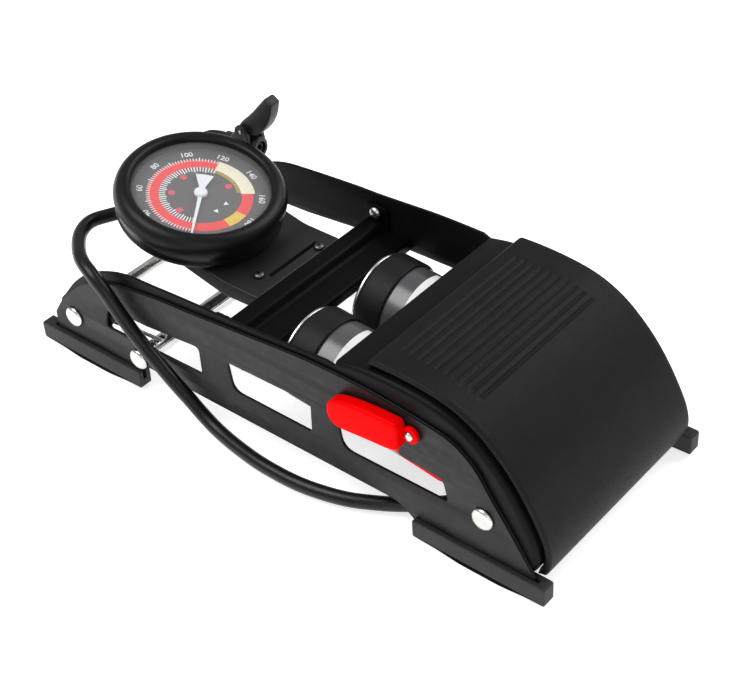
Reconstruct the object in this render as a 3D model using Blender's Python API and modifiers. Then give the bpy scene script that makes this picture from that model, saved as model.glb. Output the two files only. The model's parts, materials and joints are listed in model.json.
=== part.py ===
"""Foot air pump with two barrels, folded and latched, as an assembly of separate parts.

Lengths are in millimetres on the bench: x runs from the tip of the hinge-end feet (0) to
the tip of the pedal-end feet (300), y from the near side to the far side, z up from the
floor. The middle of the footprint is the scene origin, and meshes are written in metres.
"""

import math
from collections import namedtuple

import bmesh
import bpy
from mathutils import Matrix, Vector

for old in list(bpy.data.objects):
    bpy.data.objects.remove(old)

PARTS = bpy.data.collections.new("foot_air_pump")
TOOLS = bpy.data.collections.new("construction")
bpy.context.scene.collection.children.link(PARTS)
bpy.context.scene.collection.children.link(TOOLS)

# ---- driving dimensions (mm) -------------------------------------------------
MM = 0.001                  # metres in a millimetre
GAP = 0.3                   # clearance between neighbouring parts
SIDE_SHIFT = 5.5            # puts the middle of the whole width, hose included, on y = 0
SIDES = (("near", -1), ("far", 1))

LENGTH = 300.0
PLATE_T = 1.5
PLATE_OUT = 57.2            # outer face of a base side plate, from the middle
ARM_T = 1.5
ARM_OUT = 55.2              # outer face of a pedal-arm side wall
ARM_IN = ARM_OUT - ARM_T    # inner face of that wall
INSIDE_HALF = ARM_IN - GAP  # half width of what fits between the arm walls

HINGE = (24.0, 23.8)        # arm hinge rod, x and z
LOWER = (67.0, 18.0)        # lower spacer rod
AXLE = (268.0, 31.5)        # rear axle of the barrels
PIN = (132.0, 42.7)         # piston axle, between the arm walls
LATCH_PIVOT = (233.0, 59.4)
BAR_RIVET = (124.6, 62.9)   # rivets at the ends of the crossbar

ROD_R = 3.0
ROD_HOLE_R = ROD_R + GAP
RIVET_R = 1.5
RIVET_HOLE_R = 1.9
THROUGH = 60.0              # half length of a cutter that crosses the whole frame

BARREL_SLOPE = math.atan2(PIN[1] - AXLE[1], AXLE[0] - PIN[0])
PIN_TO_AXLE = math.hypot(PIN[1] - AXLE[1], AXLE[0] - PIN[0])

# ---- finishes ----------------------------------------------------------------
Look = namedtuple("Look", "name colour roughness metallic alpha", defaults=(0.0, 1.0))

PAINT = Look("painted_steel", (0.012, 0.012, 0.013), roughness=0.42)
STEEL = Look("bright_steel", (0.78, 0.77, 0.75), roughness=0.28, metallic=1.0)
CHROME = Look("chrome", (0.86, 0.86, 0.87), roughness=0.08, metallic=1.0)
ALLOY = Look("turned_aluminium", (0.82, 0.82, 0.83), roughness=0.3, metallic=1.0)
RUBBER = Look("black_rubber", (0.012, 0.012, 0.013), roughness=0.55)
PAD = Look("pedal_rubber", (0.014, 0.014, 0.015), roughness=0.68)
PLASTIC = Look("black_plastic", (0.014, 0.014, 0.015), roughness=0.4)
FOOT = Look("foot_plastic", (0.03, 0.03, 0.032), roughness=0.6)
RED = Look("red_plastic", (0.85, 0.01, 0.01), roughness=0.3)
BARREL = Look("barrel_paint", (0.05, 0.05, 0.055), roughness=0.3, metallic=0.2)
BRASS = Look("brass", (0.75, 0.56, 0.25), roughness=0.3, metallic=1.0)
DIAL = Look("dial_face", (0.05, 0.045, 0.05), roughness=0.5)
WHITE = Look("needle_white", (0.75, 0.78, 0.8), roughness=0.4)
GLASS = Look("lens", (1.0, 1.0, 1.0), roughness=0.03, alpha=0.35)


def give(obj, look):
    """Each part has its own copy of its finish."""
    made = bpy.data.materials.new(f"{look.name}.{obj.name}")
    made.use_nodes = True
    inputs = made.node_tree.nodes["Principled BSDF"].inputs
    inputs["Base Color"].default_value = (*look.colour, 1.0)
    inputs["Roughness"].default_value = look.roughness
    inputs["Metallic"].default_value = look.metallic
    inputs["Alpha"].default_value = look.alpha
    obj.data.materials.clear()
    obj.data.materials.append(made)


# ---- frames ------------------------------------------------------------------
def bench(x, y, z):
    """Bench millimetres to scene metres."""
    return Vector(((x - LENGTH / 2) * MM, (y + SIDE_SHIFT) * MM, z * MM))


def to_bench(point):
    """Scene metres back to bench millimetres."""
    return (point.x / MM + LENGTH / 2, point.y / MM - SIDE_SHIFT, point.z / MM)


def upright(x, y, z):
    return Matrix.Translation(bench(x, y, z))


def along_y(x, y, z, direction=1):
    """Local z points to bench +y, or to -y where direction is -1."""
    return upright(x, y, z) @ Matrix.Rotation(math.radians(-90 * direction), 4, "X")


def leaning(x, y, z, angle):
    """Local z leans from bench +z towards +x by the angle in radians."""
    return upright(x, y, z) @ Matrix.Rotation(angle, 4, "Y")


def aimed(point, run):
    """Local z points along run."""
    turn = Vector((0, 0, 1)).rotation_difference(run)
    return upright(*point) @ turn.to_matrix().to_4x4()


def on_barrel(y):
    """Local z runs from the piston axle to the rear axle, starting at the piston axle."""
    return leaning(PIN[0], y, PIN[1], math.radians(90) + BARREL_SLOPE)


# ---- outlines, profiles and lines ----------------------------------------------
def circle(centre_x, centre_z, radius, count=16):
    angles = [2 * math.pi * i / count for i in range(count)]
    return [(centre_x + radius * math.cos(a), centre_z + radius * math.sin(a)) for a in angles]


def arc(centre, radius, degrees):
    """Points round a centre (x, z), one for each angle."""
    x, z = centre
    angles = [math.radians(d) for d in degrees]
    return [(x + radius * math.cos(a), z + radius * math.sin(a)) for a in angles]


def rounded(points, radii, steps=4):
    """A polygon with its corners rounded; each corner has its own radius."""
    out = []
    for i, (x, z) in enumerate(points):
        corner = Vector((x, z))
        before = Vector(points[i - 1]) - corner
        after = Vector(points[(i + 1) % len(points)]) - corner
        reach = min(radii[i], before.length * 0.45, after.length * 0.45)
        if reach <= 0:
            out.append((x, z))
            continue
        start = corner + before.normalized() * reach
        end = corner + after.normalized() * reach
        for k in range(steps + 1):
            t = k / steps
            point = start * (1 - t) ** 2 + corner * 2 * t * (1 - t) + end * t**2
            out.append((point.x, point.y))
    return out


def inset(line, depth):
    """An x, z line moved to its right by depth, for a sheet of even thickness."""
    out = []
    for i, (x, z) in enumerate(line):
        before = Vector(line[max(i - 1, 0)])
        after = Vector(line[min(i + 1, len(line) - 1)])
        run = (after - before).normalized()
        out.append((x + run.y * depth, z - run.x * depth))
    return out


def flow(points, per_span=2):
    """A smooth line through bench points (Catmull-Rom)."""
    knots = [Vector(p) for p in points]
    knots = [knots[0] * 2 - knots[1], *knots, knots[-1] * 2 - knots[-2]]
    out = []
    for before, start, end, after in zip(knots, knots[1:], knots[2:], knots[3:]):
        slope = end - before
        bend = 2 * before - 5 * start + 4 * end - after
        twist = 3 * start - before - 3 * end + after
        for k in range(per_span):
            t = k / per_span
            out.append(0.5 * ((2 * start) + slope * t + bend * t**2 + twist * t**3))
    out.append(knots[-2])
    return [tuple(p) for p in out]


def solid(radius, low, high):
    """Profile of a plain cylinder."""
    return [(0, low), (radius, low), (radius, high), (0, high)]


def pipe(bore, radius, low, high):
    """Profile of a plain tube."""
    return [(bore, low), (radius, low), (radius, high), (bore, high)]


# ---- shape builders ------------------------------------------------------------
def settle(mesh, smooth_angle=35.0):
    """Merge loose caps, turn the faces outwards, and shade round faces smooth."""
    bm = bmesh.new()
    bm.from_mesh(mesh)
    bmesh.ops.remove_doubles(bm, verts=bm.verts, dist=1e-6)
    bmesh.ops.recalc_face_normals(bm, faces=bm.faces)
    bm.to_mesh(mesh)
    bm.free()
    mesh.shade_smooth()
    mesh.set_sharp_from_angle(angle=math.radians(smooth_angle))
    return mesh


def helper(name, data):
    obj = bpy.data.objects.new(name + "_helper", data)
    PARTS.objects.link(obj)
    return obj


def baked(source, name):
    """The evaluated mesh of a helper object, which is then removed."""
    graph = bpy.context.evaluated_depsgraph_get()
    mesh = bpy.data.meshes.new_from_object(source.evaluated_get(graph))
    mesh.name = name
    data = source.data
    bpy.data.objects.remove(source)
    library = bpy.data.curves if isinstance(data, bpy.types.Curve) else bpy.data.meshes
    library.remove(data)
    return mesh


def place(name, mesh, look=None):
    """Without a look, the object is a hidden tool for a boolean."""
    obj = bpy.data.objects.new(name, mesh)
    if look is None:
        TOOLS.objects.link(obj)
        obj.hide_render = True
        obj.display_type = "WIRE"
    else:
        PARTS.objects.link(obj)
        give(obj, look)
    return obj


def add_spline(curve, points):
    """A straight-sided spline through points given in metres."""
    spline = curve.splines.new("POLY")
    spline.points.add(len(points) - 1)
    for knot, point in zip(spline.points, points):
        knot.co = (*point, 1)
    return spline


def flat(name, rings, thickness, matrix, look):
    """Local x, y rings in mm, filled and thickened evenly about local z = 0."""
    curve = bpy.data.curves.new(name, "CURVE")
    curve.dimensions = "2D"
    curve.fill_mode = "BOTH"
    curve.extrude = thickness / 2 * MM
    for ring in rings:
        spline = add_spline(curve, [(x * MM, y * MM, 0) for x, y in ring])
        spline.use_cyclic_u = True
    mesh = baked(helper(name, curve), name)
    mesh.transform(matrix)
    return place(name, settle(mesh), look)


def sheet(name, outline, y0, y1, look=None, holes=()):
    """A flat outline in bench x and z, extruded between y0 and y1."""
    rings = [[(x - LENGTH / 2, z) for x, z in ring] for ring in (outline, *holes)]
    middle = Matrix.Translation((0, ((y0 + y1) / 2 + SIDE_SHIFT) * MM, 0))
    stand_up = Matrix.Rotation(math.radians(90), 4, "X")
    return flat(name, rings, abs(y1 - y0), middle @ stand_up, look)


def turned(name, profile, matrix, look=None, steps=16):
    """A profile of (radius, height) in mm, turned about local z.

    A profile that starts on the axis also ends there; any other closes on itself.
    """
    count = len(profile)
    edges = [(i, i + 1) for i in range(count - 1)]
    if profile[0][0] > 0:
        edges.append((count - 1, 0))
    mesh = bpy.data.meshes.new(name + "_profile")
    mesh.from_pydata([(r * MM, 0, h * MM) for r, h in profile], edges, [])
    source = helper(name, mesh)
    screw = source.modifiers.new("turn", "SCREW")
    screw.axis = "Z"
    screw.steps = screw.render_steps = steps
    screw.use_merge_vertices = True
    screw.merge_threshold = 0.00001
    mesh = baked(source, name)
    mesh.transform(matrix)
    return place(name, settle(mesh), look)


def wire(name, points, radius, look, resolution=1):
    """A round bar along a list of bench points."""
    curve = bpy.data.curves.new(name, "CURVE")
    curve.dimensions = "3D"
    curve.bevel_depth = radius * MM
    curve.bevel_resolution = resolution
    curve.use_fill_caps = True
    add_spline(curve, [bench(*point) for point in points])
    return place(name, settle(baked(helper(name, curve), name)), look)


def block(name, low, high, look=None, bevel=0.0):
    """A box between two opposite bench corners."""
    bm = bmesh.new()
    bmesh.ops.create_cube(bm, size=1.0)
    size = [(b - a) * MM for a, b in zip(low, high)]
    bmesh.ops.scale(bm, vec=size, verts=bm.verts)
    if bevel:
        bmesh.ops.bevel(
            bm, geom=bm.edges[:], offset=bevel * MM, segments=2, profile=0.5, affect="EDGES"
        )
    mesh = bpy.data.meshes.new(name)
    bm.to_mesh(mesh)
    bm.free()
    mesh.transform(upright(*[(a + b) / 2 for a, b in zip(low, high)]))
    return place(name, settle(mesh, 30), look)


def combine(obj, others, prefix, operation):
    for other in others:
        step = obj.modifiers.new(prefix + other.name, "BOOLEAN")
        step.operation = operation
        step.solver = "EXACT"
        step.object = other


def join(obj, *others):
    combine(obj, others, "join_", "UNION")


def cut(obj, *others):
    combine(obj, others, "cut_", "DIFFERENCE")


# ---- base frame --------------------------------------------------------------
HEAD_R = 5.3                # head of a peened rod
HEAD_RISE = 1.7
SLEEVE_R = 4.6
SLEEVE_HALF = 53.3

# Outlines in this script are lists of (x, z), followed by one radius for each corner.
BASE_OUTLINE = rounded(
    [
        (9, 6.4), (60, 6.4), (66, 15.7), (224, 15.7), (236, 6.4), (291, 6.4), (293.2, 11.5),
        (282.2, 28.5), (271.5, 43.8), (263.0, 56.4), (252, 64.3), (237, 66.9), (213, 69.3),
        (194, 69.8), (173, 69.4), (148, 66.9), (121, 64.3), (105, 62.7), (88.7, 61.4),
        (75.6, 59.8), (62, 57.6), (50, 54.6), (39.5, 49.9), (28.7, 42.4), (17.5, 31.2),
        (10, 20.5),
    ],
    [1, 3, 4, 5, 3, 2, 2] + [6] * 19,
    steps=2,
)
WINDOWS = [
    rounded(
        [(46.5, 28.0), (109.8, 29.4), (109.8, 45.0), (76, 41.6), (50, 40.5)],
        [4, 2, 3, 0, 5], steps=3,
    ),
    rounded(
        [(129.5, 29.6), (175.8, 29.4), (176.4, 46.0), (127.3, 45.0)],
        [5, 2, 2, 2], steps=3,
    ),
    rounded(  # with a notch in its upper edge, where the latch reaches through
        [
            (193.5, 29.5), (250.0, 30.0), (247.5, 41.2), (224.8, 43.0),
            (224.8, 49.4), (206.4, 49.4), (206.4, 43.5), (191.5, 43.6),
        ],
        [6, 2, 3, 0.5, 1, 1, 0.5, 3], steps=3,
    ),
]


def build_side_plate(side, sign):
    holes = WINDOWS + [circle(x, z, ROD_HOLE_R) for x, z in (HINGE, LOWER, AXLE)]
    if side == "near":
        holes.append(circle(*LATCH_PIVOT, RIVET_HOLE_R))
    inner = PLATE_OUT - PLATE_T
    sheet(f"side_plate_{side}", BASE_OUTLINE, sign * PLATE_OUT, sign * inner, PAINT, holes)


def build_peened_rod(name, x, z):
    """A rod across the frame with a low domed head outside each side plate."""
    out = PLATE_OUT + GAP
    far_end = [
        (ROD_R, out), (HEAD_R, out), (HEAD_R, out + 0.4), (HEAD_R * 0.9, out + HEAD_RISE * 0.6),
        (HEAD_R * 0.62, out + HEAD_RISE - 0.15), (0, out + HEAD_RISE),
    ]
    near_end = [(radius, -y) for radius, y in reversed(far_end)]
    turned(name, near_end + far_end, along_y(x, 0, z), STEEL)


def build_spacer_sleeve():
    profile = pipe(ROD_HOLE_R, SLEEVE_R, -SLEEVE_HALF, SLEEVE_HALF)
    turned("spacer_sleeve", profile, along_y(LOWER[0], 0, LOWER[1]), CHROME)


# ---- feet --------------------------------------------------------------------
FOOT_L = 68.0
FOOT_Y = (52.8, 59.8)       # inner and outer face, from the middle
FOOT_TOP = 11.4
SLOT_Z = (6.0, 20.0)
SLOT_HALF = PLATE_T / 2 + GAP
# end, x of the foot's start, slot start and end from there
FEET = (("hinge", 0.0, 7, 73), ("pedal", LENGTH - FOOT_L, -5, 63.5))
FOOT_SIDE = [
    (0, 1.9), (12, 1.5), (22, 0.35), (26, 0), (44, 0), (49, 0.45), (58, 1.5), (FOOT_L, 1.9),
    (FOOT_L, 10.2), (FOOT_L - 1, FOOT_TOP), (1, FOOT_TOP), (0, 10.2),
]


def build_feet():
    """Strips with a wavy underside and a slot for the lower edge of the side plate."""
    for end, start, slot_start, slot_end in FEET:
        outline = [(start + x, z) for x, z in FOOT_SIDE]
        for side, sign in SIDES:
            name = f"{end}_{side}"
            foot = sheet(f"foot_{name}", outline, sign * FOOT_Y[0], sign * FOOT_Y[1], FOOT)
            middle = sign * (PLATE_OUT - PLATE_T / 2)
            slot = block(
                f"slot_{name}",
                (start + slot_start, middle - SLOT_HALF, SLOT_Z[0]),
                (start + slot_end, middle + SLOT_HALF, SLOT_Z[1]),
            )
            cut(foot, slot)


# ---- pedal arm ---------------------------------------------------------------
PEDAL_LINE = [  # x, z of the top of the pressed sheet, under the cover
    (190.6, 74.6), (200, 76.6), (210, 77.7), (221, 77.9), (233, 77.3), (244, 75.7),
    (253, 72.7), (261, 68.2), (268.5, 61.9), (275, 55.1), (281.5, 46.4), (287.2, 36.8),
    (291.4, 28.2), (293.2, 21.5), (293.0, 16.2), (291.4, 12.4),
]
ARM_LOWER_EDGE = rounded(
    [
        (46, 25.5), (56, 38.5), (70, 45.6), (120, 47.4),
        (185, 50.4), (236, 50.6), (252, 46.5), (260.5, 38.0),
    ],
    [3, 6, 8, 0, 0, 10, 8, 3], steps=2,
)
ARM_TOE = rounded(
    [(263.0, 37.0), (273.4, 37.0), (274.6, 13.5), (290.9, 12.6)], [2, 3, 2, 0.6], steps=2
)
ARM_UPPER_EDGE = [  # x, z of the near wall, how much higher the far wall stands
    (184, 73.0, 1.8), (160, 71.0, 3.6), (128, 68.6, 3.6), (110, 67.8, 3.6),
    (82.9, 66.0, 3.4), (64.6, 64.5, 3.0), (51, 60.6, 1.8), (38, 54.2, 0.0),
    (26.6, 44.6, 0.0), (16.6, 32.6, 0.0),
]
HINGE_LOBE_R = 11.7
PRESSED_DEPTHS = (0.05, 1.75)  # upper and lower face of the pressed sheet, from PEDAL_LINE
PRESSED_HALF = ARM_OUT - 0.7

COVER_NEAR = 52.4           # the cover reaches further over the far wall
COVER_FAR = 54.6
COVER_T = 4.3               # outer face of the cover, from PEDAL_LINE
COVER_FOOT_Z = 10.2         # lower end of the cover


def arm_outline(far):
    lobe = arc(HINGE, HINGE_LOBE_R, range(150, 331, 18))
    upper = [(x, z + rise if far else z) for x, z, rise in ARM_UPPER_EDGE]
    return lobe + ARM_LOWER_EDGE + ARM_TOE + PEDAL_LINE[-2::-1] + upper


def build_pedal_arm():
    """Two walls joined by the pressed sheet under the pedal cover."""
    holes = [circle(*HINGE, ROD_HOLE_R)]
    arm = sheet("pedal_arm", arm_outline(far=False), -ARM_OUT, -ARM_IN, PAINT, holes)
    far_wall = sheet("arm_wall_far", arm_outline(far=True), ARM_IN, ARM_OUT, None, holes)
    upper, lower = [inset(PEDAL_LINE, depth)[:-1] for depth in PRESSED_DEPTHS]
    pressed = sheet("arm_pressed_top", upper + lower[::-1], -PRESSED_HALF, PRESSED_HALF)
    join(arm, pressed, far_wall)


def build_pedal_cover():
    """The moulded cover wraps the pressed sheet and ends above the floor."""
    outer = [
        (204.3, 79.3), (207.5, 81.6), *inset(PEDAL_LINE, -COVER_T)[2:], (293.4, COVER_FOOT_Z)
    ]
    inner = [(206, 77.75), *inset(PEDAL_LINE, -GAP)[2:-1], (290.6, COVER_FOOT_Z)]
    cover = sheet("pedal_cover", outer + inner[::-1], -COVER_NEAR, COVER_FAR, PAD)
    cut(cover, block("pad_clearance", (284.0, 52.4, 5.0), (299.0, 57.0, 11.9)))


# ---- crossbar ----------------------------------------------------------------
TAB_T = 1.8
BAR_OUTLINE = [
    (119.6, 49.0), (119.6, 59.2), (128.4, 59.2), (130.6, 54.6), (144.6, 54.6), (144.6, 49.0),
    (142.8, 49.0), (142.8, 52.8), (129.4, 52.8), (127.2, 57.4), (121.4, 57.4), (121.4, 49.0),
]
TAB_OUTLINE = rounded(
    [(118.4, 50.0), (131.5, 50.0), (131.5, 67.0), (118.4, 67.0)], [1, 1, 3, 3], steps=2
)


def build_crossbar():
    """A folded bar between the arm walls, with a tab against each wall."""
    bar = sheet("crossbar", BAR_OUTLINE, -INSIDE_HALF, INSIDE_HALF, PAINT)
    for side, sign in SIDES:
        tab = sheet(
            f"crossbar_tab_{side}", TAB_OUTLINE,
            sign * INSIDE_HALF, sign * (INSIDE_HALF - TAB_T),
            None, [circle(*BAR_RIVET, RIVET_HOLE_R)],
        )
        join(bar, tab)


def build_crossbar_rivet(side, sign):
    under_head = INSIDE_HALF - TAB_T - GAP
    end = INSIDE_HALF + GAP * 0.5
    profile = [
        (0, under_head - 1.7), (2.2, under_head - 1.4), (3.1, under_head - 0.6),
        (3.1, under_head), (RIVET_R, under_head), (RIVET_R, end), (0, end),
    ]
    frame = along_y(BAR_RIVET[0], 0, BAR_RIVET[1], sign)
    turned(f"crossbar_rivet_{side}", profile, frame, STEEL)


# ---- hinge bushes and return springs ------------------------------------------
COIL_R = 5.6                # to the middle of the spring wire
COIL_PITCH = 2.3
FULL_COILS = 5
LAST_COIL_DEG = 166
COIL_STEPS = 8              # points in each full coil
COIL_START_Y = 46.6
SPRING_WIRE_R = 0.9


def build_hinge_bush(side, sign):
    profile = [
        (ROD_HOLE_R, 0), (6.6, 0), (6.6, 1.2), (5.0, 1.2), (5.0, 4.8), (ROD_HOLE_R, 4.8)
    ]
    frame = along_y(HINGE[0], sign * INSIDE_HALF, HINGE[1], -sign)
    turned(f"hinge_bush_{side}", profile, frame, PLASTIC, steps=20)


def build_return_spring(side, sign):
    """A leg over the lower rod, coils on the hinge rod, and a leg under the crossbar."""
    first_y = sign * COIL_START_Y
    points = [
        (73.0, first_y, 24.9), (60.0, first_y, 23.6), (HINGE[0] + 4, first_y, HINGE[1] - COIL_R)
    ]
    begin = math.radians(-90)
    end = math.radians(-90 - 360 * FULL_COILS - LAST_COIL_DEG)
    travel = sign * COIL_PITCH * (FULL_COILS + 0.46)
    count = FULL_COILS * COIL_STEPS + 5
    for i in range(count + 1):
        t = i / count
        angle = begin + (end - begin) * t
        x = HINGE[0] + COIL_R * math.cos(angle)
        z = HINGE[1] + COIL_R * math.sin(angle)
        points.append((x, first_y - travel * t, z))
    last_y = points[-1][1]
    points += [(44.0, last_y, 33.2), (112.0, last_y, 45.6), (122.6, last_y, 46.9)]
    wire(f"return_spring_{side}", points, SPRING_WIRE_R, STEEL)


# ---- barrels -----------------------------------------------------------------
BARREL_Y = 24.65            # half the distance between the barrel axes
BARREL_R = 21.0
BARREL_BORE = 19.5
CAP_R = 22.4
LUG_HALF = 6.5
# Ends of the barrel tube, along its axis from the piston axle
BARREL_START = 21.0
BARREL_END = PIN_TO_AXLE - 18.2

HEAD_CAP = [  # radius, height
    (4.5, 17.6), (20.6, 17.6), (22.0, 18.2), (CAP_R, 19.4), (CAP_R, 31.2), (22.0, 31.8),
    (BARREL_R + GAP, 31.8), (BARREL_R + GAP, BARREL_START - GAP), (4.5, BARREL_START - GAP),
]
GLAND_RING = [(4.6, 15.5), (20.4, 15.5), (21.0, 16.0), (21.0, 17.3), (4.6, 17.3)]
REAR_CAP = [
    (0, BARREL_END - 4.0), (BARREL_BORE - GAP, BARREL_END - 4.0),
    (BARREL_BORE - GAP, BARREL_END + GAP), (BARREL_R, BARREL_END + GAP),
    (BARREL_R, BARREL_END + 4.6), (20.2, BARREL_END + 5.6), (0, BARREL_END + 5.6),
]
LUG_R = 7.4
LUG_OUTLINE = [
    (AXLE[0] - 14.2, AXLE[1] - 7.2), (AXLE[0] - 3, AXLE[1] - LUG_R),
    *arc(AXLE, LUG_R, range(-70, 91, 20)),
    (AXLE[0] - 14.2, AXLE[1] + 8.6),
]


def build_barrel(side, sign):
    frame = on_barrel(sign * BARREL_Y)
    tube = pipe(BARREL_BORE, BARREL_R, BARREL_START, BARREL_END)
    turned(f"barrel_{side}", tube, frame, BARREL, steps=28)
    turned(f"head_cap_{side}", HEAD_CAP, frame, PLASTIC, steps=28)
    turned(f"gland_ring_{side}", GLAND_RING, frame, ALLOY, steps=28)
    disc = solid(6.5, BARREL_END - 5.6, BARREL_END - 4.3)
    turned(f"valve_disc_{side}", disc, frame, RUBBER, steps=20)


def build_rear_cap(side, sign):
    """The cap carries the lug that turns on the rear axle."""
    y = sign * BARREL_Y
    cap = turned(f"rear_cap_{side}", REAR_CAP, on_barrel(y), PLASTIC, steps=28)
    lug = sheet(f"lug_{side}", LUG_OUTLINE, y - LUG_HALF, y + LUG_HALF)
    bore = turned(
        f"axle_hole_{side}", solid(ROD_HOLE_R, -THROUGH, THROUGH),
        along_y(AXLE[0], 0, AXLE[1]), steps=18,
    )
    join(cap, lug)
    cut(cap, bore)


NIPPLE = Vector((261.0, -4.0, 21.5))  # start of the hose nipple
NIPPLE_RUN = Vector((-0.22, -0.45, -0.86)).normalized()


def build_manifold():
    """Joins both rear caps to the hose and to the gauge tube, between the two lugs."""
    manifold = block(
        "manifold", (255.6, -17.6, 18.6), (265.6, 17.6, 27.4), PLASTIC, bevel=1.0
    )
    to_hose = turned("nipple_hose", solid(2.5, -3, 6.5), aimed(NIPPLE, NIPPLE_RUN))
    gauge_frame = leaning(256, 0, 22.6, math.radians(90))
    to_gauge = turned("nipple_gauge", solid(1.6, -6.4, 3), gauge_frame)
    join(manifold, to_hose, to_gauge)


# ---- pistons, rods and their axle ----------------------------------------------
PISTON_R = 18.9
PISTON = [  # radius, height from the piston axle
    (0, 100.0), (PISTON_R, 100.0), (PISTON_R, 103.0), (16.4, 103.0),
    (16.4, 106.4), (PISTON_R, 106.4), (PISTON_R, 109.6), (0, 109.6),
]
PISTON_SEAL = [(16.7, 103.3), (19.1, 103.4), (19.2, 104.7), (19.1, 106.0), (16.7, 106.1)]
PISTON_AXLE = [
    (0, -53.1), (2.6, -53.1), (ROD_R, -52.7), (ROD_R, 52.7), (2.6, 53.1), (0, 53.1)
]


def build_piston_rod(side, sign):
    y = sign * BARREL_Y
    rod = turned(f"piston_rod_{side}", solid(3.9, 4.0, 99.7), on_barrel(y), CHROME, steps=20)
    eye_frame = along_y(PIN[0], y, PIN[1])
    eye = turned(f"rod_eye_{side}", solid(6.6, -5.0, 5.0), eye_frame, steps=18)
    bore = turned(
        f"rod_bore_{side}", solid(ROD_HOLE_R, -THROUGH, THROUGH),
        along_y(PIN[0], 0, PIN[1]), steps=18,
    )
    join(rod, eye)
    cut(rod, bore)


def build_piston(side, sign):
    frame = on_barrel(sign * BARREL_Y)
    turned(f"piston_{side}", PISTON, frame, PLASTIC, steps=18)
    turned(f"piston_seal_{side}", PISTON_SEAL, frame, RUBBER, steps=24)


def build_piston_axle():
    turned("piston_axle", PISTON_AXLE, along_y(PIN[0], 0, PIN[1]), STEEL, steps=18)


# ---- latch -------------------------------------------------------------------
GRIP_OUTLINE = rounded(
    [
        (191.6, 54.5), (193.4, 50.2), (198.2, 48.2), (213.4, 49.8), (224.0, 50.6),
        (229.6, 52.0), (230.2, 57.0), (230.2, 62.5), (229.4, 66.2), (216.3, 65.9),
        (206.0, 64.9), (197.0, 63.2), (192.4, 60.0),
    ],
    [4, 3, 4, 6, 5, 3, 3, 3, 3, 6, 6, 5, 4], steps=3,
)
TAIL_OUTLINE = [
    (208.0, 46.6), (217, 43.4), (224.5, 39.6), (234, 38.3), (244.0, 36.8), (246.4, 37.6),
    (246.2, 40.0), (239, 43.0), (230, 46.0), (221, 49.2), (208.0, 49.2),
]
LATCH_RIVET = [  # radius, height towards the near side
    (0, -0.25), (RIVET_R, -0.25), (RIVET_R, 4.1), (2.1, 4.1), (1.9, 4.8), (1.0, 5.1), (0, 5.1)
]


def build_latch():
    """A grip outside the near plate, linked through the window to a tail inside it."""
    face = -PLATE_OUT
    x, z = LATCH_PIVOT
    latch = sheet("latch_lever", GRIP_OUTLINE, face - 7.0, face - 0.4, RED)
    boss_profile = pipe(RIVET_HOLE_R, 4.0, 0.4, 2.6)
    boss = turned("latch_boss", boss_profile, along_y(x, face, z, -1), steps=24)
    rise = block("latch_rise", (209.0, face - 2.4, 46.9), (218.0, face - 0.45, 52.0))
    link = block("latch_link", (208.5, face - 2.6, 46.4), (218.5, -52.5, 48.8))
    tail = sheet("latch_tail", TAIL_OUTLINE, -54.9, -52.4)
    join(latch, boss, rise, link, tail)
    turned("latch_rivet", LATCH_RIVET, along_y(x, face + 1.2, z, -1), STEEL)


# ---- gauge bracket -----------------------------------------------------------
GAUGE = (61.4, 0.0, 76.9)   # centre of the dial face
GAUGE_TILT = math.radians(12.5)  # towards the pedal
ON_GAUGE = leaning(*GAUGE, GAUGE_TILT)
BRACKET_BEND_X = 97.0
BRACKET_Y = (-26.0, 31.6)
SCREWS = (("near", 108.1, -13.0), ("far", 116.0, 20.0))  # name, x, y
SCREW = [  # radius, height from the top of the bracket
    (0, -6.5), (RIVET_R, -6.5), (RIVET_R, GAP + 0.25), (2.9, GAP + 0.25), (2.9, 1.3),
    (2.2, 1.9), (0.7, 2.0), (0.7, 1.2), (0, 1.2),
]


def bracket_top(x):
    """Parallel to the gauge under the gauge, then level up to the crossbar."""
    return GAUGE[2] - 11.6 - math.tan(GAUGE_TILT) * (min(x, BRACKET_BEND_X) - GAUGE[0])


def build_bracket():
    outline = rounded(
        [
            (47, bracket_top(47) - 8.0), (BRACKET_BEND_X, 49.4), (119.0, 50.4),
            (119.0, bracket_top(119.0)), (BRACKET_BEND_X, bracket_top(BRACKET_BEND_X)),
            (47, bracket_top(47)),
        ],
        [3, 4, 1, 1.5, 3, 2.5], steps=2,
    )
    bracket = sheet("gauge_bracket", outline, *BRACKET_Y, PLASTIC)
    cut(bracket, turned("stem_hole", solid(5.9, -40, 0), ON_GAUGE, steps=18))
    for side, x, y in SCREWS:
        frame = upright(x, y, bracket_top(x))
        cut(bracket, turned(f"screw_hole_{side}", solid(RIVET_HOLE_R, -7, 9), frame))
        turned(f"bracket_screw_{side}", SCREW, frame, STEEL)


# ---- gauge -------------------------------------------------------------------
FACE_R = 33.0               # dial and lens
BOOT_R = 41.0
# Profiles of (radius, height from the dial face)
GAUGE_CASE = [
    (5.6, -11.0), (34.0, -11.0), (35.0, -10.0), (35.0, 3.2), (33.4, 3.2), (33.4, -9.5),
    (5.6, -9.5),
]
GAUGE_BOOT = [
    (32.0, 4.4), (32.3, 5.8), (34.2, 7.2), (36.4, 7.4), (38.8, 6.2), (40.6, 3.4),
    (BOOT_R, 0.8), (40.3, -3.0), (39.5, -5.3), (39.9, -7.4), (37.8, -10.2), (35.3, -10.2),
    (35.3, 4.4),
]
GAUGE_STEM = [
    (0, -24.4), (1.7, -24.4), (1.7, -19.5), (5.4, -19.5), (5.4, -12.2), (5.3, -12.2),
    (5.3, -8.2), (4.4, -7.4), (0, -7.4),
]
NEEDLE_HUB = [
    (0, -6.2), (1.2, -6.2), (1.2, 0.6), (3.2, 0.6), (3.3, 2.1), (2.4, 2.8), (0, 2.9)
]
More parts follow.
